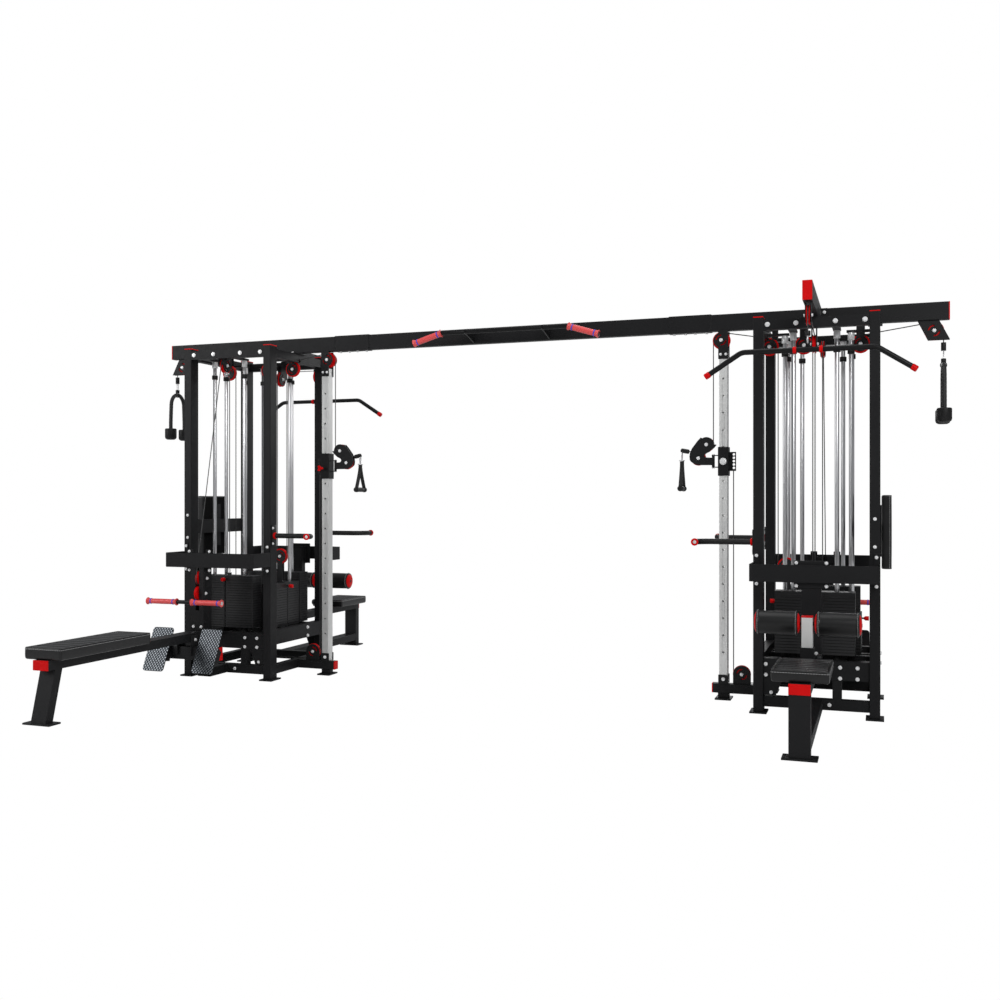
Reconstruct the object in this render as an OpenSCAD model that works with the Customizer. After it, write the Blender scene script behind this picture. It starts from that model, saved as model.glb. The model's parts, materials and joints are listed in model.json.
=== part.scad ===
// Functional trainer: two four-sided weight-stack towers joined by an overhead beam.
// Millimetres. X runs along the beam, Y from front to back, Z up from the floor.
// The origin is on the floor under the middle of the beam.
// Tower b stands at +X. Tower a is the same tower turned half round about Z.

/* [Overall] */
// half length of the overhead beam
beam_half = 2631; // [2400:1:2800]
// underside of the overhead beam
beam_z = 2242; // [2100:1:2400]
// beam depth across
beam_w = 50; // [40:1:80]
// beam height
beam_h = 101; // [60:1:140]
// wall of the heavy tubes
wall = 3; // [2:0.5:6]

/* [Tower frame] */
// inner post centre, from the machine's middle
post_in = 1609; // [1400:1:1700]
// outer post centre, from the machine's middle
post_out = 2236; // [2100:1:2400]
// post centre, from the machine's centre line
post_y = 345; // [250:1:450]
// post section along the beam
post_w = 56; // [40:1:80]
// post section across the beam
post_d = 84; // [60:1:120]
// top of the posts
post_top = 2250; // [2100:1:2400]
// thickness of the foot plates
foot_t = 10; // [6:1:16]
// underside of the top rails
top_rail_z = 2178; // [2000:1:2300]
// height of the top rails
top_rail_h = 56; // [40:1:80]
// width of a rail between the posts
rail_w = 50; // [40:1:60]

/* [Weight stacks] */
// height of one weight plate
plate_t = 17; // [10:1:30]
// long side of a weight plate in the two middle stacks
plate_len = 320; // [250:1:400]
// long side of a weight plate in the lat and row stacks
wide_plate_len = 440; // [300:1:480]
// short side of every weight plate
plate_w = 110; // [80:1:130]
// gap between two plates
plate_gap = 0.4; // [0.2:0.1:1]
// half spacing of a stack's two guide rods
rod_half = 120; // [80:1:160]
// guide rod radius
rod_r = 12.5; // [8:0.5:16]
// radial play of a plate on its rods
play = 0.5; // [0.3:0.1:2]
// plates under the inner stack's head
cable_plates = 16; // [5:1:25]
// plates under the outer stack's head
press_plates = 11; // [5:1:25]
// plates under a lat or row stack's head
wide_plates = 19; // [5:1:25]
// inner stack centre, from the machine's middle
inner_x = 1735.5; // [1650:0.5:1800]
// outer stack centre, from the machine's middle
outer_x = 2105; // [2050:1:2150]
// lat and row stacks, from the machine's centre line
wide_y = 225; // [200:1:260]
// lat stack centre on tower a, then on tower b
lat_xs = [1900, 1911];
// row stack centre on tower a, then on tower b
row_xs = [2007, 1930];

/* [Cables and pulleys] */
// cable radius
cable_r = 3; // [2:0.5:4]
// radius of a large pulley to the middle of its cable
pull_r = 50; // [40:1:60]
// radius of a swivel-arm pulley to the middle of its cable
small_r = 41.5; // [30:0.5:50]
// radius of a row pulley to the middle of its cable
row_r = 45; // [35:1:50]
// thickness of a pulley
pull_t = 18; // [12:1:24]

/* [Sliding column] */
// column centre, from the machine's middle
col_x = 1364; // [1300:1:1450]
// column section along the beam
col_w = 50; // [40:1:70]
// column section across the beam
col_d = 60; // [40:1:80]
// top of the column
col_top = 2125; // [1900:1:2140]
// number of setting holes
hole_count = 17; // [5:1:20]
// height of the lowest setting hole
hole_z = 286; // [200:1:400]
// spacing of the setting holes
hole_pitch = 104; // [50:1:150]
// setting hole the trolley rests at, counted from 0
hole_now = 11; // [0:1:16]

/* [Lat and row stations] */
// lat seat centre on tower a, then on tower b
seat_xs = [1919, 1911];
// lat seat pad width
seat_w = 265; // [200:1:320]
// lat seat pad thickness
seat_t = 50; // [30:1:80]
// underside of the lat seat pad
seat_z = 356; // [300:1:450]
// row bench pad width
bench_w = 245; // [200:1:320]
// row bench pad length
bench_l = 755; // [600:1:900]
// row bench pad thickness
bench_t = 66; // [40:1:90]
// underside of the row bench pad
bench_z = 345; // [300:1:450]

/* [Hidden] */
a_ = 0;
b_ = 1;
mid_x = (post_in + post_out) / 2;
post_face = post_y + post_d / 2;
rail_y = post_face - rail_w;             // inner face of a front or back top rail
in_face = post_in + rail_w / 2;          // inner faces of the side rails
out_face = post_out - rail_w / 2;
top_rail_top = top_rail_z + top_rail_h;
base_z0 = 207; base_z1 = 313;            // upper base rails
low_z0 = 38; low_z1 = 98;                // lower base rails
carry_z = 285;                           // top of the rails that carry the stacks
stack_z = 325;                           // underside of the middle stacks
wide_z = 333;                            // underside of the lat and row stacks
rim_r = pull_r + 3.5;
col_i1 = inner_x - 2 * pull_r;           // pulley above the inner stack, column side
col_t2 = inner_x + 2 * pull_r;           // pulley above the inner stack, far side
head_pulley_z = 815;
c1 = [col_x - 13.5, 2185];
i1 = [col_i1, 2133];
t2 = [col_t2, 2133];
b1 = [col_t2, 155];
c2 = [1472, 155];
o1 = [outer_x + pull_r, 2126];
o2 = [2554, 2182];
l1 = [wide_y + pull_r, 2100];
l2 = [817, 2176];
r1 = [wide_y + pull_r, 2140];
r2 = [563, 691];
r3 = [576, 592];
arm_z = 1510.5;                          // height at which the cable leaves the swivel arm
u1 = [1259, arm_z + small_r];
u2 = [1210, arm_z - small_r];
pin_z = hole_z + hole_now * hole_pitch;
sleeve_z0 = 1360; sleeve_z1 = 1535;
hinge_x = 1300;                          // swivel axis; the cable rises along it
bar_y = l2.x + pull_r;                   // lat bar, from the centre line
bar_z = 1990;
row_bar_y = 739; row_bar_z = r3.y - row_r;
post_roll_y = 897; roll_z = 577;
rope_x = o2.x + pull_r;
rope_top = 1983; rope_end = 1732;
rope_half = 80; rope_r = 13.5;
wide_top = wide_z + (wide_plates + 2) * plate_t + 90;
guard_z0 = 764; guard_z1 = 860;

// ---------- helpers ----------

// a block between two corners
module box(a, b) translate(a) cube(b - a);

// a hollow square tube along X, Y or Z between two corners
module tube_x(a, b, t = wall) difference() {
    box(a, b);
    box([a.x - 1, a.y + t, a.z + t], [b.x + 1, b.y - t, b.z - t]);
}
module tube_y(a, b, t = wall) difference() {
    box(a, b);
    box([a.x + t, a.y - 1, a.z + t], [b.x - t, b.y + 1, b.z - t]);
}
module tube_z(a, b, t = wall) difference() {
    box(a, b);
    box([a.x + t, a.y + t, a.z - 1], [b.x - t, b.y - t, b.z + 1]);
}

// round bars along X, Y and Z from a start point
module rod_x(p, l, r) translate(p) rotate([0, 90, 0]) cylinder(h = l, r = r, $fn = 48);
module rod_y(p, l, r) translate(p) rotate([-90, 0, 0]) cylinder(h = l, r = r, $fn = 48);
module rod_z(p, l, r) translate(p) cylinder(h = l, r = r, $fn = 48);

// a round bar between two points
module bar(p, q, r) {
    d = q - p;
    translate(p) rotate([0, acos(d.z / norm(d)), atan2(d.y, d.x)])
        cylinder(h = norm(d), r = r, $fn = 48);
}

// place on tower a (0), turned half round, or tower b (1)
module tower(t) rotate([0, 0, t == 0 ? 180 : 0]) children();

// hexagon bolt head on a washer; it points along +Z
module bolt(s = 1) {
    cylinder(h = 2 * s, r = 12 * s, $fn = 48);
    translate([0, 0, 2 * s]) cylinder(h = 7 * s, r = 9.5 * s, $fn = 6);
}
// the same head on a face that looks along d
module bolt_at(p, d, s = 1) {
    translate(p) rotate(d.z != 0 ? [d.z > 0 ? 0 : 180, 0, 0]
        : d.x != 0 ? [0, d.x > 0 ? 90 : -90, 0] : [d.y > 0 ? -90 : 90, 0, 0]) bolt(s);
}

// pulley in the XZ plane: grooved rim, thin web with a hub, bored for its axle
module pulley(r = pull_r, bore = 6) {
    rotate([90, 0, 0]) rotate_extrude($fn = 96)
        polygon([[bore, -pull_t / 2], [14, -pull_t / 2], [14, -5], [r - 12, -5],
            [r - 12, -pull_t / 2], [r + 3.5, -pull_t / 2], [r + 3.5, -pull_t / 2 + 2],
            [r - cable_r - 0.7, -cable_r], [r - cable_r - 0.7, cable_r],
            [r + 3.5, pull_t / 2 - 2], [r + 3.5, pull_t / 2], [r - 12, pull_t / 2],
            [r - 12, 5], [14, 5], [14, pull_t / 2], [bore, pull_t / 2]]);
}
module pulley_xz(c, r = pull_r) translate([c.x, 0, c.y]) pulley(r);
module pulley_yz(x, s, c, r = pull_r) translate([x, s * c.x, c.y]) rotate([0, 0, 90]) pulley(r);

// axle bolt of a pulley, with a head at each end, through two cheeks 2h apart
module axle(h) {
    rotate([90, 0, 0]) translate([0, 0, -h]) cylinder(h = 2 * h, r = 5.9, $fn = 48);
    for (s = [-1, 1]) rotate([s * 90, 0, 0]) translate([0, 0, h]) bolt(0.9);
}
module axle_xz(c, h) translate([c.x, 0, c.y]) axle(h);
module axle_yz(x, s, c, h) translate([x, s * c.x, c.y]) rotate([0, 0, 90]) axle(h);

// one cheek plate: a block from a to b, rounded about each pulley centre of holes and
// pierced there by the axle and by two curved windows
module windows() difference() {
    circle(r = 33, $fn = 64);
    circle(r = 25, $fn = 64);
    polygon([[0, 0], [50, -4], [50, 46], [4, 50]]);
    polygon([[0, 0], [-50, 4], [-50, -46], [-4, -50]]);
}
module cheek(a, b, holes, y, t = 4, r = 45) translate([0, y + t, 0]) rotate([90, 0, 0]) linear_extrude(t) difference() {
    union() {
        translate(a) square(b - a);
        for (h = holes) translate(h) circle(r = r, $fn = 96);
    }
    for (h = holes) translate(h) {
        circle(r = 6, $fn = 48);
        windows();
    }
}
module cheeks(a, b, holes, gap = 10, t = 4, r = 45) {
    cheek(a, b, holes, gap, t, r);
    cheek(a, b, holes, -gap - t, t, r);
}
// the same pair in the YZ plane at x; s is the side of the centre line
module cheeks_yz(x, s, a, b, holes, gap = 11) translate([x, 0, 0]) rotate([0, 0, s * 90])
    cheeks(a, b, holes, gap);

// ---------- cables: straight runs and arcs round pulleys ----------
// A route is a list of [x, z, r]: r is 0 at an end point, above 0 where the cable
// turns left round a pulley and below 0 where it turns right.
function heading(p, q) = let (d = [q.x - p.x, q.y - p.y])
    atan2(d.y, d.x) - asin((q.z - p.z) / norm(d));
function touch(p, h) = [p.x + p.z * sin(h), p.y - p.z * cos(h)];
function turn(h0, h1, r) = r > 0 ? (h1 - h0 + 720) % 360 : -((h0 - h1 + 720) % 360);

function arc_points(p, h0, h1) = let (k = sign(p.z), a = turn(h0, h1, k), n = max(1, ceil(abs(a) / 15)))
    [for (i = [0:n]) touch(p, h0 + a * i / n)];
function route_points(r) = [[r[0].x, r[0].y],
    for (i = [1:len(r) - 2]) each arc_points(r[i], heading(r[i - 1], r[i]), heading(r[i], r[i + 1])),
    [r[len(r) - 1].x, r[len(r) - 1].y]];

// a smooth round tube through points that lie in the plane square to side
module cord_tube(pts, r, side, n = 8) {
    m = len(pts);
    rings = [for (i = [0:m - 1]) let (d = pts[min(i + 1, m - 1)] - pts[max(i - 1, 0)], f = d / norm(d),
        e = i == 0 || i == m - 1 ? 1 : 1 / cos(0.5 * acos(min(1, (pts[i + 1] - pts[i]) * (pts[i] - pts[i - 1])
            / norm(pts[i + 1] - pts[i]) / norm(pts[i] - pts[i - 1])))))
        for (k = [0:n - 1]) pts[i] + r * (cos(k * 360 / n) * side + e * sin(k * 360 / n) * cross(f, side))];
    faces = concat([[for (k = [n - 1:-1:0]) k]], [[for (k = [0:n - 1]) (m - 1) * n + k]],
        [for (i = [0:m - 2], k = [0:n - 1])
            [i * n + k, i * n + (k + 1) % n, (i + 1) * n + (k + 1) % n, (i + 1) * n + k]]);
    polyhedron(rings, faces);
}
module cable_xz(route) cord_tube([for (p = route_points(route)) [p.x, 0, p.y]], cable_r, [0, 1, 0]);
// the same in the YZ plane at x; s is the side of the centre line it leads to
module cable_yz(x, s, route) cord_tube([for (p = route_points(route)) [x, s * p.x, p.y]], cable_r, [1, 0, 0]);

// ---------- frame ----------

module main_beam() color("#1f2022") {
    tube_x([-beam_half, -beam_w / 2, beam_z], [beam_half, beam_w / 2, beam_z + beam_h], 4);
    for (s = [-1, 1]) difference() {
        box([s * 1160 - 130, -beam_w / 2 - 3, beam_z - 3], [s * 1160 + 130, beam_w / 2 + 3, beam_z + beam_h + 3]);
        box([s * 1160 - 131, -beam_w / 2, beam_z], [s * 1160 + 131, beam_w / 2, beam_z + beam_h]);
    }
    // flange plates between the beam and the side rails
    for (s = [-1, 1], x = [post_in, post_out])
        box([s * x - 40, -70, top_rail_top], [s * x + 40, 70, beam_z]);
}

module lat_arm(t) {
    x = lat_xs[t];
    tube_y([x - 25, -900, beam_z], [x + 25, -beam_w / 2 - 8, beam_z + beam_h]);
    box([x - 60, -beam_w / 2 - 8, beam_z], [x + 60, -beam_w / 2, beam_z + beam_h]);
    box([x - 40, -post_face, top_rail_top], [x + 40, -rail_y, beam_z]);
    cheeks_yz(x, -1, [l2.x - 34, l2.y], [l2.x + 34, beam_z], [l2], 12);
}
module lat_arms() color("#1f2022") for (t = [a_, b_]) tower(t) lat_arm(t);

module uprights() color("#1f2022") for (t = [a_, b_], x = [post_in, post_out], s = [-1, 1])
    tower(t) tube_z([x - post_w / 2, s * post_y - post_d / 2, foot_t],
        [x + post_w / 2, s * post_y + post_d / 2, post_top]);

module top_rails_one(t) {
    for (s = [-1, 1]) {
        y0 = s > 0 ? rail_y : -post_face;
        tube_x([post_in + post_w / 2, y0, top_rail_z], [post_out - post_w / 2, y0 + rail_w, top_rail_top]);
        // arms that hold the tops of the guide rods
        for (x = [s < 0 ? lat_xs[t] : row_xs[t]], k = [-1, 1])
            box([x + k * rod_half - 22, s > 0 ? 200 : -rail_y, top_rail_z],
                [x + k * rod_half + 22, s > 0 ? rail_y : -200, top_rail_z + 12]);
        box([in_face, s * rod_half - 22, top_rail_z], [inner_x + 25, s * rod_half + 22, top_rail_z + 12]);
        box([outer_x - 25, s * rod_half - 22, top_rail_z], [out_face, s * rod_half + 22, top_rail_z + 12]);
    }
    for (x = [post_in, post_out]) difference() {
        tube_y([x - 25, -post_y + post_d / 2, top_rail_z], [x + 25, post_y - post_d / 2, top_rail_top]);
        rod_x([x - 30, 0, top_rail_z + 14], 60, 12);
        box([x - 26, -11, top_rail_z - 1], [x + 26, 11, top_rail_z + 12]);
    }
}
module top_rails() color("#1f2022") for (t = [a_, b_]) tower(t) top_rails_one(t);

module base_rails_one(t) {
    for (s = [-1, 1]) {
        y0 = s * post_y - 25;
        tube_x([post_in + post_w / 2, y0, base_z0], [post_out - post_w / 2, y0 + 50, base_z1]);
        tube_x([post_in + post_w / 2, y0, low_z0], [post_out - post_w / 2, y0 + 50, low_z1]);
        x = s < 0 ? 2012 : 1773;
        tube_z([x, y0 + 1, low_z1], [x + 50, y0 + 49, base_z0]);
        // rails that carry the stacks
        for (y = [rod_half, wide_y])
            tube_x([in_face, s * y - 25, 235], [out_face, s * y + 25, carry_z]);
        // gusset under the upper rail, beside the inner post
        translate([post_in + post_w / 2, s * (post_y + 25), base_z0]) mirror([0, s < 0 ? 0 : 1, 0])
            rotate([90, 0, 0]) linear_extrude(4) polygon([[0, 0], [0, -100], [70, -100], [110, 0]]);
    }
    for (x = [post_in, post_out]) {
        tube_y([x - 25, -post_y + post_d / 2, 235], [x + 25, post_y - post_d / 2, 333]);
        tube_y([x - 25, -post_y + post_d / 2, low_z0], [x + 25, post_y - post_d / 2, low_z1]);
    }
}
module base_rails() color("#1f2022") for (t = [a_, b_]) tower(t) base_rails_one(t);

// struts on the floor: to the lat seat, under the row column and to the sliding column
module station_struts() color("#1f2022") for (t = [a_, b_]) tower(t) {
    tube_y([seat_xs[t] - 50, -1405, low_z0 + 2], [seat_xs[t] + 50, -post_y - 25, low_z1 - 3]);
    tube_y([row_xs[t] - 75, post_y + 25, low_z0], [row_xs[t] + 25, 560, low_z1 - 3]);
    tube_x([1300, -25, low_z0], [post_in - 25, 25, low_z1 - 3]);
    box([1330, -22, foot_t], [1398, 22, low_z0]);
}

module foot(x, y, w, d) difference() {
    box([x - w / 2, y - d / 2, 0], [x + w / 2, y + d / 2, foot_t]);
    for (s = [-1, 1]) rod_z([x + s * (w / 2 - 12), y - d / 2 + 12, -1], foot_t + 2, 5.5);
}
module floor_feet() color("#1a1b1d") for (t = [a_, b_]) tower(t) {
    for (x = [post_in, post_out], s = [-1, 1]) foot(x, s * post_y, 96, 124);
    foot(1364, 0, 96, 120);
    foot(seat_xs[t], -1424, 165, 100);
    foot(row_xs[t], 1996, 180, 90);
}

module end_caps() color("#c31a1e") {
    for (s = [-1, 1]) box([s * (beam_half + 3) - 3, -beam_w / 2, beam_z], [s * (beam_half + 3) + 3, beam_w / 2, beam_z + beam_h]);
    for (t = [a_, b_]) tower(t) {
        for (x = [post_in, post_out], s = [-1, 1])
            box([x - post_w / 2, s * post_y - post_d / 2, post_top], [x + post_w / 2, s * post_y + post_d / 2, post_top + 6]);
        box([lat_xs[t] - 25, -906, beam_z], [lat_xs[t] + 25, -900, beam_z + beam_h]);
        box([1294, -25, low_z0], [1300, 25, low_z1 - 3]);
        box([seat_xs[t] - 50, -1466, 305], [seat_xs[t] + 50, -1460, seat_z]);
        box([row_xs[t] - 50, 2000, 290], [row_xs[t] + 50, 2006, bench_z]);
        for (x = [-243, 195]) box([row_xs[t] + x - 3, 670, 173], [row_xs[t] + x + 3, 730, 257]);
    }
}

// guard band in front of a stack: bent strip with a plate at each end on the post faces
module guard(s) mirror([0, s < 0 ? 1 : 0, 0]) {
    translate([mid_x, 0, guard_z0]) linear_extrude(guard_z1 - guard_z0) difference() {
        polygon([[-341, post_face], [-341, 590], [-325, 603], [325, 603], [341, 590], [341, post_face]]);
        polygon([[-337, post_face - 1], [-337, 588], [-323.5, 599], [323.5, 599], [337, 588], [337, post_face - 1]]);
    }
    for (k = [-1, 1]) box([mid_x + k * 322 - 14, post_face, guard_z0 - 45], [mid_x + k * 322 + 14, post_face + 6, guard_z1 + 60]);
}
module stack_guards() color("#1f2022") for (t = [a_, b_], s = [-1, 1]) tower(t) guard(s);

module station_columns() color("#1f2022") for (t = [a_, b_]) tower(t) {
    // lat station: closed box column
    tube_z([seat_xs[t] - 52, -570, seat_z], [seat_xs[t] + 52, -520, 860]);
    box([seat_xs[t] - 52, -599, 800], [seat_xs[t] + 52, -570, 850]);
    box([seat_xs[t] - 92, -576, 733], [seat_xs[t] + 92, -570, 882]);
    // row station: box column that houses the two row pulleys, slotted front and back
    x = row_xs[t];
    difference() {
        tube_z([x - 50, 510, bench_z], [x + 50, 599, 850], 5);
        box([x - 13, 590, 480], [x + 13, 605, 760]);
        box([x - 13, 500, 560], [x + 13, 520, 860]);
        for (c = [r2, r3]) rod_x([x - 60, c.x, c.y], 120, 6);
    }
    for (k = [-1, 1]) box([x + k * 71 - 21, 570, 733], [x + k * 71 + 21, 576, 882]);
}

module pulley_columns() color("#b9bab8") for (t = [a_, b_]) tower(t) difference() {
    tube_z([col_x - col_w / 2, -col_d / 2, low_z1], [col_x + col_w / 2, col_d / 2, col_top], 4);
    for (i = [0:hole_count - 1]) rod_y([col_x, -40, hole_z + i * hole_pitch], 80, 6);
}

module brackets(t) {
    // column clamps, top and bottom; the top pair also carries the top pulley
    for (s = [-1, 1]) {
        y = s > 0 ? col_d / 2 : -col_d / 2 - 5;
        cheek([col_x - 30, 2070], [col_x + 30, beam_z], [c1], y, 5);
        box([col_x - 30, y, low_z1 - 3], [col_x + 30, y + 5, 150]);
    }
    // cheeks under the beam
    cheeks([i1.x - 24, 2108], [i1.x + 24, top_rail_z - 4], [i1]);
    cheeks([i1.x + 16, top_rail_z - 4], [i1.x + 50, beam_z], []);
    cheeks([t2.x - 24, 2108], [t2.x + 24, beam_z], [t2]);
    cheeks([o1.x - 24, 2100], [o1.x + 24, beam_z], [o1]);
    for (y = [10, -14]) translate([0, y + 4, 0]) rotate([90, 0, 0]) linear_extrude(4) difference() {
        polygon([[o2.x - 88, beam_z], [o2.x - 33, 2128], [o2.x + 84, 2128], [o2.x + 26, beam_z]]);
        translate(o2) circle(r = 6, $fn = 48);
        translate(o2) windows();
    }
    // cheeks on the base
    cheeks([b1.x - 22, low_z0], [b1.x + 22, 185], [b1]);
    box([b1.x - 30, -24, 0], [b1.x + 30, 24, low_z0]);
    cheeks([c2.x - 52, low_z1 - 3], [c2.x + 52, c2.y], [c2], r = 52);
    // cheeks on the front and back rails
    cheeks_yz(lat_xs[t], -1, [l1.x - 22, l1.y], [rail_y, 2200], [l1]);
    cheeks_yz(row_xs[t], 1, [r1.x - 22, r1.y], [rail_y, 2200], [r1]);
}
module pulley_brackets() color("#1a1b1d") for (t = [a_, b_]) tower(t) brackets(t);

// ---------- stacks ----------

// every guide rod of tower t, as [x, y, foot of the stack]
function rods(t) = [for (k = [-1, 1]) each [
    [inner_x, k * rod_half, stack_z], [outer_x, k * rod_half, stack_z],
    [lat_xs[t] + k * rod_half, -wide_y, wide_z], [row_xs[t] + k * rod_half, wide_y, wide_z]]];

module guide_rods() color("#d7d9db") for (t = [a_, b_], p = rods(t)) tower(t)
    rod_z([p.x, p.y, carry_z], top_rail_z - carry_z, rod_r);

module ring(p, h, r) translate(p) difference() {
    cylinder(h = h, r = r, $fn = 64);
    translate([0, 0, -1]) cylinder(h = h + 2, r = rod_r, $fn = 64);
}
module rod_collars() color("#c9cbcd") for (t = [a_, b_], p = rods(t)) tower(t)
    ring([p.x, p.y, 2134], top_rail_z - 2134, 19);
module rubber_stops() color("#151515") for (t = [a_, b_], p = rods(t)) tower(t) {
    ring([p.x, p.y, 2055], 28, 20);
    ring([p.x, p.y, carry_z], p.z - carry_z, 22);
}

// plates i0 to i1 of a stack: l along X, w along Y, rods spaced along X or along Y
module plates(n0, n1, z0, l, w, along_x, pin) for (i = [n0:n1]) difference() {
    translate([-l / 2, -w / 2, z0 + i * plate_t]) cube([l, w, plate_t - plate_gap]);
    for (k = [-1, 1]) rod_z([along_x ? k * rod_half : 0, along_x ? 0 : k * rod_half, z0 + i * plate_t - 1],
        plate_t + 2, rod_r + play);
    if (i < n1 || pin != 0) rod_z([0, 0, z0 + i * plate_t - 1], plate_t + 2, rod_r + play);
    // selector hole from the reading face to the middle
    if (pin != 0) translate([0, 0, z0 + (i + 0.5) * plate_t]) rotate([0, along_x ? 0 : 90 * pin, 0])
        rotate([along_x ? -90 * pin : 0, 0, 0]) cylinder(h = w + l, r = 5.5, $fn = 32);
}
module weight_plates() color("#2a2b2d") for (t = [a_, b_]) tower(t) {
    translate([inner_x, 0, 0]) plates(0, cable_plates - 1, stack_z, plate_w, plate_len, false, -1);
    translate([outer_x, 0, 0]) plates(0, press_plates - 1, stack_z, plate_w, plate_len, false, 1);
    translate([lat_xs[t], -wide_y, 0]) plates(0, wide_plates - 1, wide_z, wide_plate_len, plate_w, true, -1);
    translate([row_xs[t], wide_y, 0]) plates(0, wide_plates - 1, wide_z, wide_plate_len, plate_w, true, 1);
}

// selector pin along +Z: shank, then a knob
module selector_pin(l) {
    cylinder(h = l, r = 5, $fn = 32);
    translate([0, 0, l]) cylinder(h = 6, r = 9, $fn = 48);
    translate([0, 0, l + 6]) cylinder(h = 22, r = 13, $fn = 48);
}
// head plate, the plate picked up by the pin, the drilled selector stem and the pin
module head(n, z0, l, w, along_x, pin, reach) {
    top = z0 + (n + 2) * plate_t;
    pin_at = z0 + (n + 0.5) * plate_t;
    plates(n, n, z0, l, w, along_x, pin);
    difference() {
        union() {
            translate([-l / 2, -w / 2, top - plate_t]) cube([l, w, plate_t]);
            rod_z([0, 0, z0 + plate_t / 2], top - z0 - plate_t, 12);
        }
        for (k = [-1, 1]) rod_z([along_x ? k * rod_half : 0, along_x ? 0 : k * rod_half, top - plate_t - 1],
            plate_t + 2, rod_r + play);
        for (i = [1:n]) translate([0, 0, z0 + (i + 0.5) * plate_t])
            rotate([along_x ? 90 : 0, along_x ? 0 : 90, 0]) translate([0, 0, -13]) cylinder(h = 26, r = 5.4, $fn = 24);
        translate([0, 0, pin_at]) rotate([0, along_x ? 0 : 90 * pin, 0])
            rotate([along_x ? -90 * pin : 0, 0, 0]) translate([0, 0, -13]) cylinder(h = w + l, r = 5.4, $fn = 24);
    }
    translate([0, 0, pin_at]) rotate([0, along_x ? 0 : 90 * pin, 0])
        rotate([along_x ? -90 * pin : 0, 0, 0]) translate([0, 0, -12]) selector_pin(reach + 12);
}
// threaded lifting eye that holds a cable end
module lift_eye(z, h) {
    rod_z([0, 0, z], 18, 14);
    rod_z([0, 0, z + 18], h - 18, 7);
}

module cable_head(t) color("#2a2b2d") tower(t) translate([inner_x, 0, 0]) {
    top = stack_z + (cable_plates + 2) * plate_t;
    head(cable_plates, stack_z, plate_w, plate_len, false, -1, 68);
    box([-30, -18, top], [30, 18, top + 8]);
    cheeks([-20, top + 8], [20, head_pulley_z + 20], [[0, head_pulley_z]], 10, 5);
    translate([0, 0, head_pulley_z]) { pulley(); axle(15); }
}
module press_head(t) color("#2a2b2d") tower(t) translate([outer_x, 0, 0]) {
    head(press_plates, stack_z, plate_w, plate_len, false, 1, 68);
    lift_eye(stack_z + (press_plates + 2) * plate_t, 90);
}
module lat_head(t) color("#2a2b2d") tower(t) translate([lat_xs[t], -wide_y, 0]) {
    head(wide_plates, wide_z, wide_plate_len, plate_w, true, -1, 62);
    lift_eye(wide_z + (wide_plates + 2) * plate_t, 90);
}
module row_head(t) color("#2a2b2d") tower(t) translate([row_xs[t], wide_y, 0]) {
    head(wide_plates, wide_z, wide_plate_len, plate_w, true, 1, 62);
    lift_eye(wide_z + (wide_plates + 2) * plate_t, 90);
}

// ---------- stations ----------

module seat_frame(t) {
    x = seat_xs[t];
    tube_y([x - 50, -1460, 305], [x + 50, -post_y - 25, seat_z]);
    tube_z([x - 50, -1460, foot_t], [x + 50, -1405, 305]);
    // outer tube of the roller post, with its clamp knob
    difference() {
        box([x - 34, -post_roll_y - 34, seat_z], [x + 34, -post_roll_y + 34, 456]);
        box([x - 27.8, -post_roll_y - 27.8, seat_z - 1], [x + 27.8, -post_roll_y + 27.8, 457]);
    }
    rod_x([x + 34, -post_roll_y, 402], 14, 8);
    rod_x([x + 48, -post_roll_y, 402], 20, 19);
    y = row_xs[t];
    tube_y([y - 50, post_y + 25, 290], [y + 50, 2000, bench_z]);
    translate([y - 50, 0, 0]) rotate([90, 0, 90]) linear_extrude(100)
        polygon([[1895, 290], [1950, 290], [2022, foot_t], [1967, foot_t]]);
}
// bar across the outer posts that carries the back pad
module pad_bar() {
    y = post_y - post_d / 2;
    x = post_out + post_w / 2;
    tube_y([x - 30, -y, 980], [x, y, 1076]);
    for (s = [-1, 1]) box([x - 50, s * (y - 3) - 3, 930], [x - 6, s * (y - 3) + 3, 1132]);
    box([x, -45, 884], [x + 6, 45, 1183]);
}
module seat_frames() color("#1f2022") for (t = [a_, b_]) tower(t) { seat_frame(t); pad_bar(); }

module seat_pads() color("#161616") for (t = [a_, b_]) tower(t)
    box([seat_xs[t] - seat_w / 2, -1430, seat_z + 0.3], [seat_xs[t] + seat_w / 2, -1005, seat_z + seat_t]);
module bench_pads() color("#161616") for (t = [a_, b_]) tower(t)
    box([row_xs[t] - bench_w / 2, 1990 - bench_l, bench_z + 0.3], [row_xs[t] + bench_w / 2, 1990, bench_z + bench_t]);
module back_pads() color("#161616") for (t = [a_, b_]) tower(t)
    box([post_out + post_w / 2 + 6.3, -155, 820], [post_out + post_w / 2 + 61, 155, 1240]);

// tread plates, the cross tube that carries them and its hangers
module footrest(t) {
    x = row_xs[t];
    tube_x([x - 240, 670, 173], [x + 192, 730, 257]);
    for (k = [-1, 1]) {
        box([x + k * 53 - 3, 655, 200], [x + k * 53 + 3, 745, 330]);
        translate([x + k * 185 - 77.5, 818, 100]) rotate([24.7, 0, 0]) {
            cube([155, 6, 297]);
            for (e = [0, 151]) translate([e, -44, 84]) cube([4, 44, 80]);
        }
    }
}
module footrests() color("#8d8f91") for (t = [a_, b_]) tower(t) footrest(t);

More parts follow.
